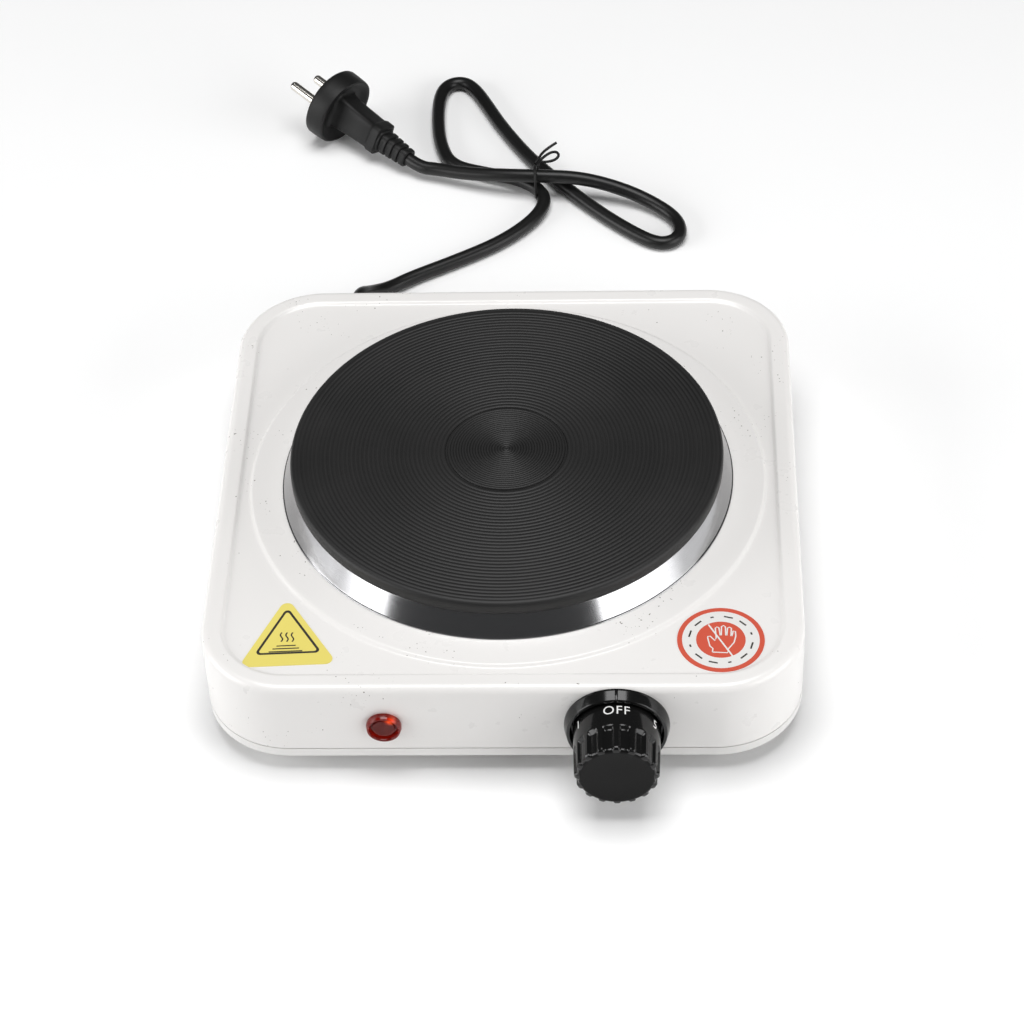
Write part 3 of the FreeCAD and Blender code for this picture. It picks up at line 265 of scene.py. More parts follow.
frontTurn = Matrix.Rotation(math.radians(90), 4, "X")  # local +Z out of the front face
rearTurn = Matrix.Rotation(math.radians(-90), 4, "X")


def finishMesh(name, mesh, materials, body="appliance", instead=(), smooth=38.0, matrix=None):
    # Turn a bmesh in millimetres into an object at the origin that rides on a CAD body
    if matrix is not None:
        bmesh.ops.transform(mesh, matrix=matrix, verts=mesh.verts)
    bmesh.ops.scale(mesh, vec=(mm, mm, mm), verts=mesh.verts)
    bmesh.ops.recalc_face_normals(mesh, faces=mesh.faces)
    for face in mesh.faces:
        face.smooth = True
    limit = math.radians(smooth)
    for edge in mesh.edges:
        if len(edge.link_faces) == 2 and edge.calc_face_angle(0.0) > limit:
            edge.smooth = False
    data = bpy.data.meshes.new(name)
    mesh.to_mesh(data)
    mesh.free()
    obj = bpy.data.objects.new(name, data)
    for material in materials:
        data.materials.append(paint[material])
    bpy.context.scene.collection.objects.link(obj)
    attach(obj, body)
    for node in instead:
        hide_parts(node)
    return obj


def softProfile(corners, steps=5):
    # An outline of (radius, height, round) corners, with the rounds drawn as short arcs
    points = []
    count = len(corners)
    for index, (x, y, bend) in enumerate(corners):
        here = Vector((x, y))
        if not bend or index in (0, count - 1):
            points.append(here)
            continue
        before = (Vector(corners[index - 1][:2]) - here).normalized()
        after = (Vector(corners[index + 1][:2]) - here).normalized()
        half = before.angle(after) / 2
        reach = bend / math.tan(half)
        centre = here + (before + after).normalized() * (bend / math.sin(half))
        start = here + before * reach - centre
        end = here + after * reach - centre
        turn = start.angle_signed(end)
        for step in range(steps + 1):
            share = turn * step / steps
            points.append(centre + Vector((start.x * math.cos(share) + start.y * math.sin(share),
                                           start.y * math.cos(share) - start.x * math.sin(share))))
    return points


def spin(points, steps=96):
    # Turn an outline of (radius, height) points about Z
    mesh = bmesh.new()
    verts = [mesh.verts.new((point[0], 0, point[1])) for point in points]
    edges = [mesh.edges.new(pair) for pair in zip(verts, verts[1:])]
    bmesh.ops.spin(mesh, geom=verts + edges, cent=(0, 0, 0), axis=(0, 0, 1), angle=2 * math.pi, steps=steps,
                   use_merge=True)
    bmesh.ops.remove_doubles(mesh, verts=mesh.verts, dist=1e-4)
    return mesh


def loft(rings, capped=True):
    # Skin over rings that have the same number of points
    mesh = bmesh.new()
    rows = [[mesh.verts.new(point) for point in ring] for ring in rings]
    for lower, upper in zip(rows, rows[1:]):
        for index in range(len(lower)):
            after = (index + 1) % len(lower)
            mesh.faces.new((lower[index], lower[after], upper[after], upper[index]))
    if capped:
        mesh.faces.new(list(reversed(rows[0])))
        mesh.faces.new(rows[-1])
    return mesh


def loop(x, y, radius, count=96):
    return [(x + radius * math.cos(2 * math.pi * i / count), y + radius * math.sin(2 * math.pi * i / count))
            for i in range(count)]


def at(x=0.0, y=0.0, z=0.0, turn=None):
    move = Matrix.Translation((x, y, z))
    return move if turn is None else move @ turn


shell = {
    "half": 126.0,
    "corner": 37.0,
    "top": 50.4,
    "bottom": 14.5,
    "edge": 3.4,
    "wall": 0.8,
    "opening": 86.0,
    "panelHalf": 117.0,
    "panelCorner": 28.0,
    "panelArc": 112.5,
    "panelTip": 5.0,
    "panelDepth": 1.2,
    "panelSlope": 1.5,
    "around": 720,
    "across": 92,
    "holes": ((47.8, 4.0), (32.8, 1.7), (62.8, 1.7), (-48.5, 6.2)),
    "cordHole": (-78.0, 18.0, 6.6),
}


def squareOutline(half, corner, count):
    # Evenly spaced points and outward directions round a square with round corners
    side = 2 * (half - corner)
    bend = corner * math.pi / 2
    whole = 4 * (side + bend)
    points = []
    for index in range(count):
        run = whole * index / count
        quarter, run = divmod(run, side + bend)
        if run <= side:
            point = Vector((half, run - side / 2))
            out = Vector((1, 0))
        else:
            angle = (run - side) / corner
            out = Vector((math.cos(angle), math.sin(angle)))
            point = Vector((half - corner, half - corner)) + out * corner
        turn = Matrix.Rotation(quarter * math.pi / 2, 2)
        points.append((turn @ point, turn @ out))
    return points


def panelDrop(x, y):
    # How far the pressed panels lower the top face at a point
    core = shell["panelHalf"] - shell["panelCorner"]
    a = abs(x) - core
    b = abs(y) - core
    inside = math.hypot(max(a, 0), max(b, 0)) + min(max(a, b), 0) - shell["panelCorner"]
    tip = shell["panelTip"]
    first = inside + tip
    second = shell["panelArc"] - math.hypot(x, y) + tip
    gap = math.hypot(max(first, 0), max(second, 0)) + min(max(first, second), 0) - tip
    share = min(max((shell["panelSlope"] / 2 - gap) / shell["panelSlope"], 0), 1)
    return shell["panelDepth"] * share * share * (3 - 2 * share)


def topShell():
    edge = shell["edge"]
    top = shell["top"]
    wall = shell["wall"]
    outline = squareOutline(shell["half"] - edge, shell["corner"] - edge, shell["around"])
    rings = []

    def offset(away, height):
        rings.append([(p.x + n.x * away, p.y + n.y * away, height) for p, n in outline])

    def across(share, height=None):
        ring = []
        for point, _ in outline:
            start = point.normalized() * shell["opening"]
            spot = start.lerp(point, share)
            level = top - panelDrop(spot.x, spot.y) if height is None else height
            ring.append((spot.x, spot.y, level))
        rings.append(ring)

    for share, height in ((0.0, top - wall), (0.3, top - wall), (0.36, top - 2.0), (0.96, top - 2.0)):
        across(share, height)
    offset(edge - wall, top - 4.5)
    offset(edge - wall, shell["bottom"])
    offset(edge, shell["bottom"])
    for height in (18.0, 28.0, 38.0, 44.0):
        offset(edge, height)
    for step in range(9):
        angle = math.radians(90 * step / 8)
        offset(edge * math.cos(angle), top - edge + edge * math.sin(angle))
    for step in range(1, shell["across"] + 1):
        across(1 - step / shell["across"])
    mesh = loft(rings, capped=False)
    bmesh.ops.remove_doubles(mesh, verts=mesh.verts, dist=1e-4)
    rims = [side for side in mesh.edges if side.is_boundary]
    bmesh.ops.bridge_loops(mesh, edges=rims)
    obj = finishMesh("topShell", mesh, ["enamel"], instead=["top_shell"], smooth=50.0,
                     matrix=at(0, bodyBack, 0))
    drills = bmesh.new()
    for x, radius in shell["holes"]:
        matrix = at(x, frontFace, axisHeight, frontTurn)
        bmesh.ops.create_cone(drills, cap_ends=True, segments=48, radius1=radius, radius2=radius, depth=6,
                              matrix=matrix)
    x, z, radius = shell["cordHole"]
    bmesh.ops.create_cone(drills, cap_ends=True, segments=48, radius1=radius, radius2=radius, depth=6,
                          matrix=at(x, shell["half"] + bodyBack, z, rearTurn))
    bmesh.ops.scale(drills, vec=(mm, mm, mm), verts=drills.verts)
    data = bpy.data.meshes.new("drills")
    drills.to_mesh(data)
    drills.free()
    cutter = bpy.data.objects.new("drills", data)
    bpy.context.scene.collection.objects.link(cutter)
    modifier = obj.modifiers.new("holes", "BOOLEAN")
    modifier.object = cutter
    modifier.operation = "DIFFERENCE"
    modifier.solver = "EXACT"
    bpy.context.view_layer.update()
    graph = bpy.context.evaluated_depsgraph_get()
    cut = bpy.data.meshes.new_from_object(obj.evaluated_get(graph))
    obj.modifiers.clear()
    obj.data = cut
    bpy.data.objects.remove(cutter)
    return obj


topShell()
print("stage: shell")


plate = {
    "radius": 94.0,
    "top": 67.0,
    "under": 60.8,
    "skirt": 55.0,
    "round": 2.4,
    "mark": 26.0,  # the deeper circle
    "markDepth": 0.9,
    "innerPitch": 1.2,
    "outerPitch": 1.9,
    "ridge": 0.26,
    "around": 288,
}


def hotPlate():
    # Top ridges, rounded rim and the walls underneath
    top = plate["top"]
    points = [(0.0, top)]

    def ridges(start, end, pitch):
        count = max(1, round((end - start) / pitch))
        pitch = (end - start) / count
        for index in range(count):
            for share, drop in ((0.12, 0.55), (0.32, 0.0), (0.68, 0.0), (0.88, 0.55), (1.0, 1.0)):
                points.append((start + (index + share) * pitch, top - drop * plate["ridge"]))

    ridges(0.3, plate["mark"] - 0.55, plate["innerPitch"])
    points.append((plate["mark"] - 0.35, top - plate["markDepth"]))
    points.append((plate["mark"] + 0.35, top - plate["markDepth"]))
    points.append((plate["mark"] + 0.6, top - plate["ridge"]))
    limit = plate["radius"] - plate["round"] - 0.6
    ridges(plate["mark"] + 0.6, limit, plate["outerPitch"])
    for step in range(8):
        angle = math.radians(90 - 90 * step / 7)
        points.append((plate["radius"] - plate["round"] * (1 - math.cos(angle)),
                       top - plate["round"] * (1 - math.sin(angle))))
    points += [(plate["radius"], plate["under"] + 0.7), (plate["radius"] - 0.7, plate["under"]),
               (86.0, plate["under"]), (86.0, plate["skirt"] + 0.5), (85.5, plate["skirt"]),
               (82.5, plate["skirt"]), (82.0, plate["skirt"] + 0.5), (82.0, 61.0), (22.0, 61.0),
               (22.0, plate["skirt"]), (9.0, plate["skirt"]), (9.0, 52.0), (3.06, 52.0), (3.06, 59.0),
               (0.0, 59.0)]
    mesh = spin(points, plate["around"])
    finishMesh("hotPlate", mesh, ["iron"], instead=["hot_plate"], smooth=60.0, matrix=at(0, bodyBack, 0))


ring = {
    "outline": [  # radius, height, how far the corner is rounded
        (87.0, 60.2, 0), (92.3, 60.2, 0), (96.95, 51.2, 0.2), (96.95, 50.42, 0), (98.3, 50.42, 0),
        (98.45, 50.6, 0.05), (98.3, 50.95, 0.15), (97.85, 51.25, 0.3), (93.1, 60.3, 0.4), (92.5, 60.78, 0.2),
        (87.0, 60.78, 0),
    ],
    "around": 256,
}


def trimRing():
    mesh = spin(softProfile(ring["outline"] + ring["outline"][:1], 5), ring["around"])
    finishMesh("trimRing", mesh, ["steel"], instead=["trim_ring"], smooth=40.0, matrix=at(0, bodyBack, 0))


hotPlate()
trimRing()
print("stage: plate and ring")


knob = {
    "x": 47.8,
    "back": 2.4,
    "front": 28.6,
    "skirt": 18.3,
    "nose": 17.4,
    "face": 15.6,
    "dish": 0.35,
    "ribs": 16,
    "ribStart": 15.5,
    "ribDepth": 1.15,
    "around": 384,
}


def knobRadius(height):
    share = (height - knob["back"]) / (knob["front"] - knob["back"])
    return knob["skirt"] + (knob["nose"] - knob["skirt"]) * share


def controlKnob():
    around = knob["around"]
    front = knob["front"]
    rings = []

    def flat(radius, height):
        rings.append([(x, y, height) for x, y in loop(0.0, 0.0, radius, around)])

    def ribbed(height, drop=0.0, strength=1.0):
        ramp = min(max((height - knob["ribStart"]) / 2.4, 0), 1)
        depth = knob["ribDepth"] * ramp * ramp * (3 - 2 * ramp) * strength
        ring = []
        for i in range(around):
            angle = 2 * math.pi * i / around
            wave = 0.5 + 0.5 * math.cos(knob["ribs"] * angle)
            rib = min(max((wave - 0.42) / 0.46, 0), 1)
            radius = knobRadius(height) - drop - depth * (1 - rib * rib * (3 - 2 * rib))
            ring.append((radius * math.cos(angle), radius * math.sin(angle), height))
        rings.append(ring)

    flat(3.0, 14.4)
    flat(3.0, knob["back"])
    flat(8.0, knob["back"])
    flat(8.0, 22.0)
    flat(13.4, 22.0)
    flat(16.3, knob["back"])
    flat(knobRadius(knob["back"]) - 0.5, knob["back"])
    flat(knobRadius(knob["back"]) - 0.12, knob["back"] + 0.15)
    for height in (knob["back"] + 0.6, 6.0, 10.0, 13.0):
        ribbed(height)
    steps = 34
    for step in range(steps + 1):
        height = 14.2 + (front - 1.5 - 14.2) * step / steps
        ribbed(height)
    for share, drop, back in ((0.97, 0.12, 1.05), (0.92, 0.36, 0.62), (0.85, 0.75, 0.28), (0.75, 1.3, 0.08)):
        ribbed(front - back, drop, share)
    flat(knob["face"] - 0.5, front)
    flat(knob["face"] - 1.3, front - 0.05)
    for radius, sink in ((12.0, 0.6), (8.0, 0.85), (4.0, 0.96)):
        flat(radius, front - knob["dish"] * sink)
    mesh = loft(rings, capped=False)
    holes = [edge for edge in mesh.edges if edge.is_boundary]
    bmesh.ops.holes_fill(mesh, edges=holes)
    for face in mesh.faces:
        height = min(vert.co.z for vert in face.verts)
        reach = max(vert.co.xy.length for vert in face.verts)
        face.material_index = 1 if height > front - 0.6 and reach < knob["face"] + 0.1 else 0
    return finishMesh("controlKnob", mesh, ["gloss", "satin"], body="knob_set", instead=["control_knob"],
                      smooth=62.0, matrix=at(knob["x"], frontFace, axisHeight, frontTurn))


dial = {
    "marks": (("OFF", 0, 4.4), ("5", 60, 4.2), ("4", 120, 4.2), ("3", 180, 4.2), ("2", 240, 4.2),
              ("1", 300, 4.2)),
    "baseline": 10.2,
    "lift": 0.04,
}


def dialPrint():
    # Generic dial marks, bent round the knob's skirt
    mesh = bmesh.new()
    for text, degrees, height in dial["marks"]:
        curve = bpy.data.curves.new("mark", "FONT")
        curve.body = text
        curve.align_x = "CENTER"
        curve.size = height * 1.38
        curve.space_character = 1.12
        curve.resolution_u = 4
        holder = bpy.data.objects.new("mark", curve)
        bpy.context.scene.collection.objects.link(holder)
        bpy.context.view_layer.update()
        data = bpy.data.meshes.new_from_object(holder.evaluated_get(bpy.context.evaluated_depsgraph_get()))
        bpy.data.objects.remove(holder)
        bpy.data.curves.remove(curve)
        part = bmesh.new()
        part.from_mesh(data)
        bmesh.ops.triangulate(part, faces=part.faces)
        bmesh.ops.subdivide_edges(part, edges=part.edges, cuts=3)
        for vert in part.verts:
            along = dial["baseline"] - vert.co.y
            reach = knobRadius(along) + dial["lift"]
            angle = math.radians(90 - degrees) - vert.co.x / reach
            vert.co = Vector((reach * math.cos(angle), reach * math.sin(angle), along))
        part.to_mesh(data)
        part.free()
        mesh.from_mesh(data)
        bpy.data.meshes.remove(data)
    finishMesh("dialPrint", mesh, ["print"], body="knob_set",
               matrix=at(knob["x"], frontFace, axisHeight, frontTurn))


bezel = {
    "outline": [
        (4.0, 0.0, 0), (21.9, 0.0, 0), (21.9, 1.0, 0.4), (20.8, 5.2, 0.7), (20.4, 5.5, 0.1), (19.3, 5.5, 0.3),
        (19.1, 1.3, 0.3), (4.0, 1.3, 0), (4.0, 0.0, 0),
    ],
}


def knobBezel():
    mesh = spin(softProfile(bezel["outline"]), 128)
    rib = bmesh.ops.create_cube(mesh, size=1.0)["verts"]
    for vert in rib:
        front = vert.co.z > 0
        high = vert.co.y > 0
        vert.co.x *= 1.5 if not front else 1.1
        vert.co.y = (22.1 if not front else 21.3) if high else 19.4
        vert.co.z = 5.5 if front else 0.2
    edges = [edge for edge in mesh.edges if edge.verts[0] in rib and edge.verts[1] in rib]
    bmesh.ops.bevel(mesh, geom=edges, offset=0.3, offset_type="OFFSET", segments=2, profile=0.5,
                    affect="EDGES", clamp_overlap=True, material=-1)
    finishMesh("knobBezel", mesh, ["gloss"], instead=["knob_bezel"],
               matrix=at(knob["x"], frontFace, axisHeight, frontTurn))


controlKnob()
dialPrint()
knobBezel()
print("stage: knob")


lamp = {
    "x": -48.5,
    "lens": [
        (0.0, 2.1, 0), (4.5, 2.1, 0.15), (4.8, 0.7, 0.2), (5.4, 0.8, 0.3), (6.2, 3.3, 0.5), (6.9, 3.1, 0.4),
        (7.4, 1.3, 0.6), (7.4, 0.02, 0.2), (5.9, 0.02, 0), (5.9, -14.0, 0), (3.9, -14.0, 0), (3.9, 0.3, 0),
        (0.0, 0.7, 0),
    ],
    "disc": 4.4,
    "dots": 0.42,
}


def pilotLamp():
    place = at(lamp["x"], frontFace, axisHeight, frontTurn)
    mesh = spin(softProfile(lamp["lens"]), 96)
    finishMesh("lampLens", mesh, ["lamp"], instead=["lamp_lens"], matrix=place)
    grid = bmesh.new()
    pitch = 0.85
    reach = int(lamp["disc"] / pitch) + 1
    for row in range(-reach, reach + 1):
        for column in range(-reach, reach + 1):
            x = (column + 0.5 * (row % 2)) * pitch
            y = row * pitch * 0.87
            if math.hypot(x, y) > lamp["disc"] - 0.35:
                continue
            made = bmesh.ops.create_icosphere(grid, subdivisions=2, radius=lamp["dots"])["verts"]
            bmesh.ops.scale(grid, vec=(1, 1, 0.55), verts=made)
            bmesh.ops.translate(grid, vec=(x, y, 2.1), verts=made)
    finishMesh("lampPearls", grid, ["pearl"], matrix=place)
    core = bmesh.new()
    bmesh.ops.create_cone(core, cap_ends=True, segments=64, radius1=3.7, radius2=3.7, depth=0.5,
                          matrix=Matrix.Translation((0, 0, -0.2)))
    finishMesh("lampDiffuser", core, ["diffuser"], matrix=place)


pilotLamp()
print("stage: lamp")


labels = {
    "low": 49.2,
    "high": 49.38,
    "step": 0.012,
    "corners": ((-91.2, -72.2), (-108.5, -112.3), (-67.3, -110.2)),
    "disc": (90.9, -97.7, 18.1),
}


def roundedLoop(corners, inset, bend, steps=8):
    # A triangle moved inwards by inset, with round corners
    middle = sum((Vector(c) for c in corners), Vector((0, 0))) / len(corners)
    moved = []
    count = len(corners)
    for index in range(count):
        here = Vector(corners[index])
        before = (Vector(corners[index - 1]) - here).normalized()
        after = (Vector(corners[(index + 1) % count]) - here).normalized()
        half = before.angle(after) / 2
        moved.append((here + (before + after).normalized() * (inset / math.sin(half)), before, after, half))
    points = []
    for here, before, after, half in moved:
        centre = here + (before + after).normalized() * (bend / math.sin(half))
        start = here + before * (bend / math.tan(half)) - centre
        end = here + after * (bend / math.tan(half)) - centre
        first = math.atan2(start.y, start.x)
        sweep = math.atan2(end.y, end.x) - first
        sweep = (sweep + math.pi) % (2 * math.pi) - math.pi
        for step in range(steps + 1):
            angle = first + sweep * step / steps
            points.append(centre + Vector((math.cos(angle), math.sin(angle))) * bend)
    return points, middle


def slab(mesh, points, low, high, index):
    # A flat piece with straight sides
    base = [mesh.verts.new((p[0], p[1], low)) for p in points]
    roof = [mesh.verts.new((p[0], p[1], high)) for p in points]
    faces = [mesh.faces.new(roof)]
    for i in range(len(points)):
        after = (i + 1) % len(points)
        faces.append(mesh.faces.new((base[i], base[after], roof[after], roof[i])))
    for face in faces:
        face.material_index = index


def band(mesh, outer, inner, height, index):
    # A flat closed line between two loops
    first = [mesh.verts.new((p[0], p[1], height)) for p in outer]
    second = [mesh.verts.new((p[0], p[1], height)) for p in inner]
    for i in range(len(first)):
        after = (i + 1) % len(first)
        mesh.faces.new((first[i], first[after], second[after], second[i])).material_index = index


def stroke(mesh, points, width, height, index):
    # A flat line of even width along points
    left = []
    right = []
    for i, point in enumerate(points):
        here = Vector(point)
        ahead = Vector(points[min(i + 1, len(points) - 1)]) - Vector(points[max(i - 1, 0)])
        side = Vector((-ahead.y, ahead.x)).normalized() * width / 2
        left.append(mesh.verts.new((*(here + side), height)))
        right.append(mesh.verts.new((*(here - side), height)))
    for i in range(len(points) - 1):
        mesh.faces.new((left[i], right[i], right[i + 1], left[i + 1])).material_index = index


def cautionTriangle():
    mesh = bmesh.new()
    low, high, step = labels["low"], labels["high"], labels["step"]
    outer, middle = roundedLoop(labels["corners"], 0.0, 3.0)
    slab(mesh, outer, low, high, 0)
    raised = [Vector(c) + Vector((0, 2.6)) for c in labels["corners"]]
    rim, _ = roundedLoop(raised, 3.9, 1.7)
    core, _ = roundedLoop(raised, 4.95, 0.9)
    band(mesh, rim, core, high + step, 1)
    cx, cy = middle.x - 0.4, middle.y
    for shift in (-2.3, 0.0, 2.3):
        wave = []
        for i in range(15):
            share = i / 14
            wave.append((cx + shift + 0.55 * math.sin(share * 2 * math.pi), cy + 0.4 + 5.2 * share))
        stroke(mesh, wave, 0.62, high + step, 1)
    for width, drop in ((4.0, 1.9), (5.5, 3.5), (7.0, 5.1)):
        tilt = 0.05
        line = [(cx - width, cy - drop - tilt * width), (cx + width, cy - drop + tilt * width)]
        stroke(mesh, line, 0.62, high + step, 1)
    finishMesh("cautionTriangle", mesh, ["yellow", "ink"], instead=["caution_triangle"],
               matrix=at(0, bodyBack, 0))


hand = {  # outline of an open hand, as a closed line about the middle of the disc
    "outline": [
        (-3.6, -7.0), (2.6, -7.4), (3.0, -5.2), (5.4, -1.6), (6.2, 2.0), (6.1, 4.6), (5.2, 4.9), (4.6, 2.0),
        (4.2, 2.0), (4.5, 6.4), (3.7, 7.0), (2.9, 6.6), (2.5, 2.4), (2.1, 2.4), (2.0, 7.4), (1.2, 8.0),
        (0.4, 7.4), (0.2, 2.4), (-0.2, 2.4), (-0.7, 6.8), (-1.5, 7.2), (-2.2, 6.6), (-1.9, 1.2), (-2.4, -0.6),
        (-4.4, 2.0), (-5.4, 1.8), (-5.4, 0.8), (-4.6, -3.6), (-3.4, -5.0),
    ],
    "line": 0.55,
    "bar": ((-5.0, 8.6), (4.6, -9.2)),
    "ticks": 12,
}


def cautionDisc():
    # Red and white disc with an open hand and a bar across it; ticks stand in the white ring
    mesh = bmesh.new()
    x, y, radius = labels["disc"]
    low, high, step = labels["low"], labels["high"], labels["step"]
    slab(mesh, loop(x, y, radius), low, high, 0)
    band(mesh, loop(x, y, radius * 0.885), loop(x, y, radius * 0.565), high + step, 1)
    outline = [(x + px, y + py) for px, py in hand["outline"]]
    stroke(mesh, outline + outline[:1], hand["line"], high + step, 1)
    (ax, ay), (bx, by) = hand["bar"]
    stroke(mesh, [(x + ax, y + ay), (x + bx, y + by)], 0.7, high + 2 * step, 1)
    for i in range(hand["ticks"]):
        angle = 2 * math.pi * (i + 0.5) / hand["ticks"]
        reach = radius * 0.725
        long = 1.9 if i % 3 else 0.7
        spot = Vector((x + reach * math.cos(angle), y + reach * math.sin(angle)))
        way = Vector((-math.sin(angle), math.cos(angle))) * long
        stroke(mesh, [spot - way, spot + way], 0.75, high + 2 * step, 2)
    finishMesh("cautionDisc", mesh, ["red", "paper", "ink"], instead=["caution_disc"],
               matrix=at(0, bodyBack, 0))


cautionTriangle()
cautionDisc()
print("stage: stickers")


foot = {
    "place": 94.0,
    "outline": [
        (4.4, 0.0, 0), (8.0, 0.0, 0.3), (8.9, 0.8, 0.6), (9.6, 6.5, 1.0), (10.0, 9.0, 0), (1.8, 9.0, 0),
        (1.8, 4.5, 0), (4.4, 4.5, 0.3), (4.4, 0.0, 0),
    ],
}


def feet():
    for name, sx, sy in (("front_left", -1, -1), ("front_right", 1, -1), ("rear_left", -1, 1),
                         ("rear_right", 1, 1)):
        mesh = spin(softProfile(foot["outline"]), 64)
        title = "foot" + name.title().replace("_", "")
        finishMesh(title, mesh, ["rubber"], instead=["foot_" + name],
                   matrix=at(sx * foot["place"], sy * foot["place"] + bodyBack, 0))


feet()
print("stage: feet")


lead = {
    "diameter": 6.8,
    "length": 622.0,
    "exit": (-78.0, 165.1, 18.0),
    "route": (
        (-78, 165.1, 18), (-78, 176, 18), (-73, 187, 9.3), (-65, 196, 4.1), (-54, 205, 3.5), (-33, 217, 3.5),
        (-10, 232, 3.5), (7, 251, 3.5), (11.5, 267, 4.6), (-2, 280, 5), (-22, 287, 3.5), (-38.5, 293.5, 3.5),
        (-45, 312, 3.5), (-47.2, 335, 3.5), (-46.6, 354.5, 3.5), (-42.2, 363, 3.5), (-34.2, 364.4, 3.5),
        (-28, 357.8, 3.5), (-21, 343, 3.5), (-13, 325, 3.5), (1, 300, 3.5), (15, 280, 4.6), (37, 255, 3.5),
        (55, 237.5, 3.5), (66.9, 229, 3.5), (74.6, 230.4, 3.5), (79, 237.2, 3.5), (76.5, 249, 3.8),
        (64, 260, 5.5), (48, 267, 9), (28, 270.5, 13), (7, 271.5, 13.5), (-13, 275, 11.5), (-31, 280.5, 8.5),
        (-45.5, 286, 7.2), (-54, 287.96, 6.9), (-60, 293, 8.5),
    ),
}


def curveTube(name, points, radius, material, kind="NURBS"):
    curve = bpy.data.curves.new(name, "CURVE")
    curve.dimensions = "3D"
    curve.bevel_depth = radius * mm
    curve.bevel_resolution = 8
    curve.use_fill_caps = True
    curve.resolution_u = 8
    spline = curve.splines.new(kind)
    spline.points.add(len(points) - 1)
    for point, spot in zip(spline.points, points):
        point.co = (spot[0] * mm, spot[1] * mm, spot[2] * mm, 1.0)
    if kind == "NURBS":
        spline.order_u = 3
        spline.use_endpoint_u = True
    curve.materials.append(paint[material])
    obj = bpy.data.objects.new(name, curve)
    bpy.context.scene.collection.objects.link(obj)
    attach(obj, "appliance")
    return obj


powerCord = curveTube("powerCord", lead["route"], lead["diameter"] / 2, "vinyl")
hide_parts("power_cord")

bushing = {
    "outline": [
        (3.4, -4.4, 0), (8.0, -4.4, 0.3), (8.0, -0.9, 0.3), (6.4, -0.9, 0), (6.4, 0.02, 0), (8.4, 0.02, 0),
        (8.3, 2.4, 0.7), (6.2, 2.6, 0.4), (6.1, 5.0, 0.3), (5.2, 5.3, 0.2), (5.2, 6.8, 0.2), (5.9, 7.1, 0.3),
        (5.8, 9.4, 0.3), (4.9, 9.7, 0.2), (4.9, 11.2, 0.2), (5.6, 11.5, 0.3), (5.5, 13.8, 0.3),
        (4.7, 14.1, 0.2), (4.7, 15.6, 0.2), (5.3, 15.9, 0.3), (5.2, 18.2, 0.3), (4.5, 18.5, 0.2),
        (4.5, 20.0, 0.2), (5.0, 20.3, 0.3), (4.8, 24.8, 0.4), (3.4, 24.8, 0), (3.4, -4.4, 0),
    ],
}
bushingMesh = spin(softProfile(bushing["outline"], 3), 64)
cordBushing = finishMesh("cordBushing", bushingMesh, ["plug"], instead=["cord_bushing"],
                         matrix=at(lead["exit"][0], shell["half"] + bodyBack, lead["exit"][2], rearTurn))

plug = {
    "axis": (-0.75, 0.63, 0.2),
    "spread": (0.531, 0.774, -0.346),
    "start": (-60.0, 293.0, 8.5),
    "pinGap": 19.0,
    "head": [  # distance along the plug, half width across the grips, half width along the spine, squareness
        (18.0, 6.4, 7.2, 5.0), (18.4, 7.0, 7.9, 5.0), (22.6, 7.1, 8.0, 5.0), (23.4, 6.7, 7.7, 5.0),
        (24.2, 6.2, 7.3, 6.0), (36.0, 6.3, 7.9, 6.0), (43.0, 6.6, 8.6, 6.0), (46.5, 7.0, 9.2, 5.0),
        (47.6, 8.2, 10.2, 3.6), (47.8, 10.5, 11.8, 2.6),
        (47.0, 13.4, 13.9, 2.3), (45.4, 15.9, 16.1, 2.2), (44.9, 16.9, 17.0, 2.2), (45.2, 17.8, 17.9, 2.2),
        (46.2, 18.2, 18.2, 2.15), (49.5, 18.4, 18.4, 2.15), (52.0, 18.6, 18.6, 2.1),
        (54.6, 18.6, 18.6, 2.1), (55.4, 18.3, 18.3, 2.1), (55.9, 17.6, 17.6, 2.1), (56.0, 16.8, 16.8, 2.1),
    ],
    "around": 128,
    "pin": [
        (0.0, 56.0, 0), (2.4, 56.0, 0), (2.4, 73.5, 0.6), (1.9, 74.6, 0.6), (1.0, 75.0, 0.3), (0.0, 75.0, 0),
    ],
    "sleeveRings": 4,
    "ringPitch": 4.1,
}


def plugMatrix():
    axis = Vector(plug["axis"]).normalized()
    spread = Vector(plug["spread"])
    spread = (spread - axis * spread.dot(axis)).normalized()
    turn = Matrix((spread, axis.cross(spread), axis)).transposed().to_4x4()
    return Matrix.Translation(plug["start"]) @ turn


def oval(along, across, deep, square, count):
    points = []
    for i in range(count):
        angle = 2 * math.pi * i / count
        c, s = math.cos(angle), math.sin(angle)
        x = across * math.copysign(abs(c) ** (2 / square), c)
        y = deep * math.copysign(abs(s) ** (2 / square), s)
        points.append((x, y, along))
    return points


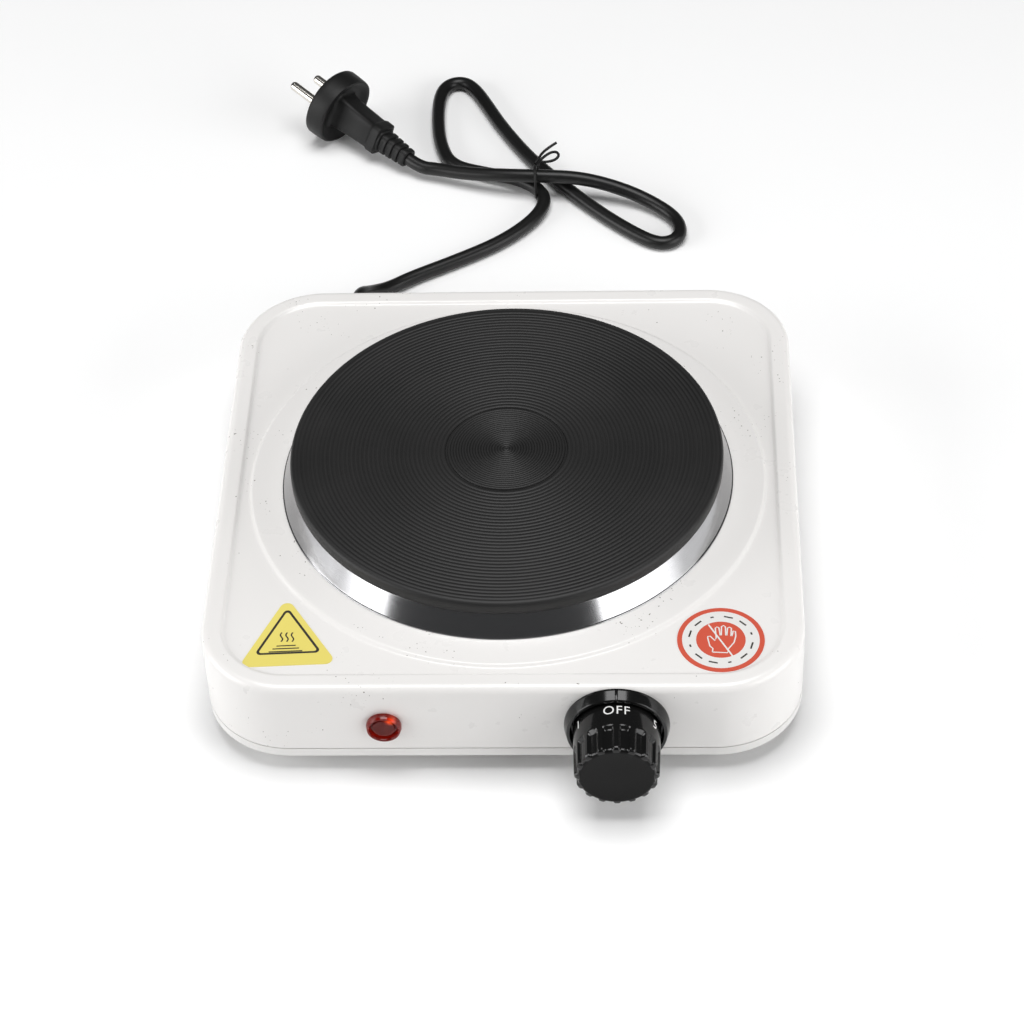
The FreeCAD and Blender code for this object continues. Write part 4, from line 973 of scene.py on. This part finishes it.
def plugPieces():
    place = plugMatrix()
    rings = [oval(*row, plug["around"]) for row in plug["head"]]
    body = finishMesh("plugBody", loft(rings), ["plug"], instead=["plug_body"], smooth=50.0, matrix=place)
    pins = bmesh.new()
    outline = softProfile(plug["pin"], 4)
    for side in (-0.5, 0.5):
        part = spin(outline, 40)
        bmesh.ops.translate(part, vec=(side * plug["pinGap"], 0, 0), verts=part.verts)
        data = bpy.data.meshes.new("pin")
        part.to_mesh(data)
        part.free()
        pins.from_mesh(data)
        bpy.data.meshes.remove(data)
    pinPiece = finishMesh("plugPins", pins, ["nickel"], instead=["plug_pins"], matrix=place)
    sleeve = []

    def section(along, half):
        sleeve.append(oval(along, half, half, 3.2, 72))

    section(0.0, 3.5)
    section(0.02, 4.2)
    section(0.4, 4.5)
    along = 0.4
    for step in range(plug["sleeveRings"]):
        half = 4.6 + 0.33 * step
        section(along + 0.3, half)
        section(along + 2.4, half + 0.08)
        section(along + 2.6, half - 0.1)
        section(along + 2.75, half - 0.8)
        section(along + 4.0, half - 0.75)
        section(along + 4.15, half)
        along += plug["ringPitch"]
    section(17.2, 6.05)
    section(18.0, 6.15)
    relief = finishMesh("plugRelief", loft(sleeve), ["plug"], instead=["plug_relief"], smooth=45.0,
                        matrix=place)
    return [body, pinPiece, relief]


plugParts = plugPieces()

tie = {
    "radius": 0.7,
    "middle": (6.0, 272.0, 9.2),
    "bend": 6.8,
    "rise": 1.75,
    "loop": [
        (7.6, 279.2, 17.0), (9.8, 282.0, 17.6), (13.5, 284.8, 18.3), (16.5, 284.2, 18.8), (17.6, 281.2, 18.6),
        (15.5, 278.6, 18.0), (11.5, 277.6, 17.5), (8.6, 278.4, 17.0),
    ],
    "tail": [
        (5.4, 277.6, 16.6), (7.0, 280.4, 17.4), (8.6, 284.0, 18.0), (12.0, 288.0, 18.6), (16.0, 291.0, 19.4),
    ],
}


def cordTie():
    # Wire round two strands, with a twist, a small loop and a loose end
    cx, cy, cz = tie["middle"]
    points = []
    for step in range(41):
        angle = math.radians(60 + 360 * step / 40)
        lift = tie["rise"] if math.sin(angle) > 0 else -tie["rise"]
        y = cy + tie["bend"] * math.cos(angle)
        z = cz + tie["bend"] * math.sin(angle) + lift
        points.append((cx - 0.7 + 1.4 * step / 40, y, z))
    points += tie["loop"]
    obj = curveTube("cordTie", points, tie["radius"], "plug")
    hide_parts("cord_tie")
    tail = curveTube("tieTail", tie["tail"], tie["radius"], "plug")
    return [obj, tail]


tieParts = cordTie()
print("stage: mains lead")


finishes = {
    "panWhite": ("base_pan",),
    "board": ("element_insulation",),
    "sheath": ("heating_coil",),
    "plainSteel": ("element_terminals", "centre_stud", "stud_washer", "stud_nut", "thermostat_screws",
                   "foot_screws", "cord_clamp_screws"),
    "zinc": ("heat_shield", "clamp_bracket", "thermostat_bracket", "lamp_retainer", "screw_posts"),
    "ceramic": ("thermostat_body", "leaf_holder", "terminal_block"),
    "brass": ("thermostat_shaft", "contact_leaf", "fixed_contact", "thermostat_terminals", "earth_screw"),
    "strip": ("bimetal_strip",),
    "glassTube": ("neon_tube",),
    "vinyl": ("cord_tail",),
    "satin": ("cord_clamp",),
    "greenWire": ("wire_earth",),
    "brownWire": ("wire_line",),
    "blueWire": ("wire_neutral",),
    "paleWire": ("wire_switched", "wire_element", "wire_return", "lamp_leads"),
}
for finish, nodes in finishes.items():
    for node in nodes:
        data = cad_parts[node].data
        data.materials.clear()
        data.materials.append(paint[finish])
print("stage: inner pieces")


room = {
    "floor": 6.0,
    "world": 0.07,
    "lights": (  # name, place, aim, width, height, power
        ("leftBox", (-1.38, -0.34, 0.50), (0, 0.05, 0.05), 1.2, 0.9, 14.0),
        ("rightBox", (1.30, -0.55, 0.50), (0, 0.05, 0.05), 1.4, 0.9, 13.0),
        ("overhead", (0.0, 0.02, 1.8), (0, 0.10, 0), 1.3, 1.1, 25.5),
    ),
}


def floorSurface():
    material, shader, place = newMaterial("paleFloor")
    drift = place.noise(1.4, 2.0)
    feed(material, shader, "Base Color", drift.above(0.3, 0.7).blend((0.98, 0.98, 0.98), (0.97, 0.97, 0.97)))
    shader.inputs["Roughness"].default_value = 0.9
    shader.inputs["Specular IOR Level"].default_value = 0.1
    return material


def addRoom():
    mesh = bmesh.new()
    bmesh.ops.create_grid(mesh, x_segments=2, y_segments=2, size=room["floor"])
    data = bpy.data.meshes.new("floor")
    mesh.to_mesh(data)
    mesh.free()
    data.materials.append(floorSurface())
    floor = bpy.data.objects.new("floor", data)
    bpy.context.scene.collection.objects.link(floor)
    for name, place, aim, width, height, power in room["lights"]:
        light = bpy.data.lights.new(name, "AREA")
        light.shape = "RECTANGLE"
        light.size = width
        light.size_y = height
        light.energy = power
        obj = bpy.data.objects.new(name, light)
        way = Vector(aim) - Vector(place)
        obj.matrix_world = Matrix.Translation(place) @ way.to_track_quat("-Z", "Y").to_matrix().to_4x4()
        bpy.context.scene.collection.objects.link(obj)
    world = bpy.data.worlds.new("studio")
    world.use_nodes = True
    world.node_tree.nodes["Background"].inputs["Color"].default_value = (0.98, 0.99, 1.0, 1)
    world.node_tree.nodes["Background"].inputs["Strength"].default_value = room["world"]
    bpy.context.scene.world = world
    bpy.context.scene.view_settings.view_transform = "Standard"
    bpy.context.scene.view_settings.look = "None"


addRoom()
print("stage: room")
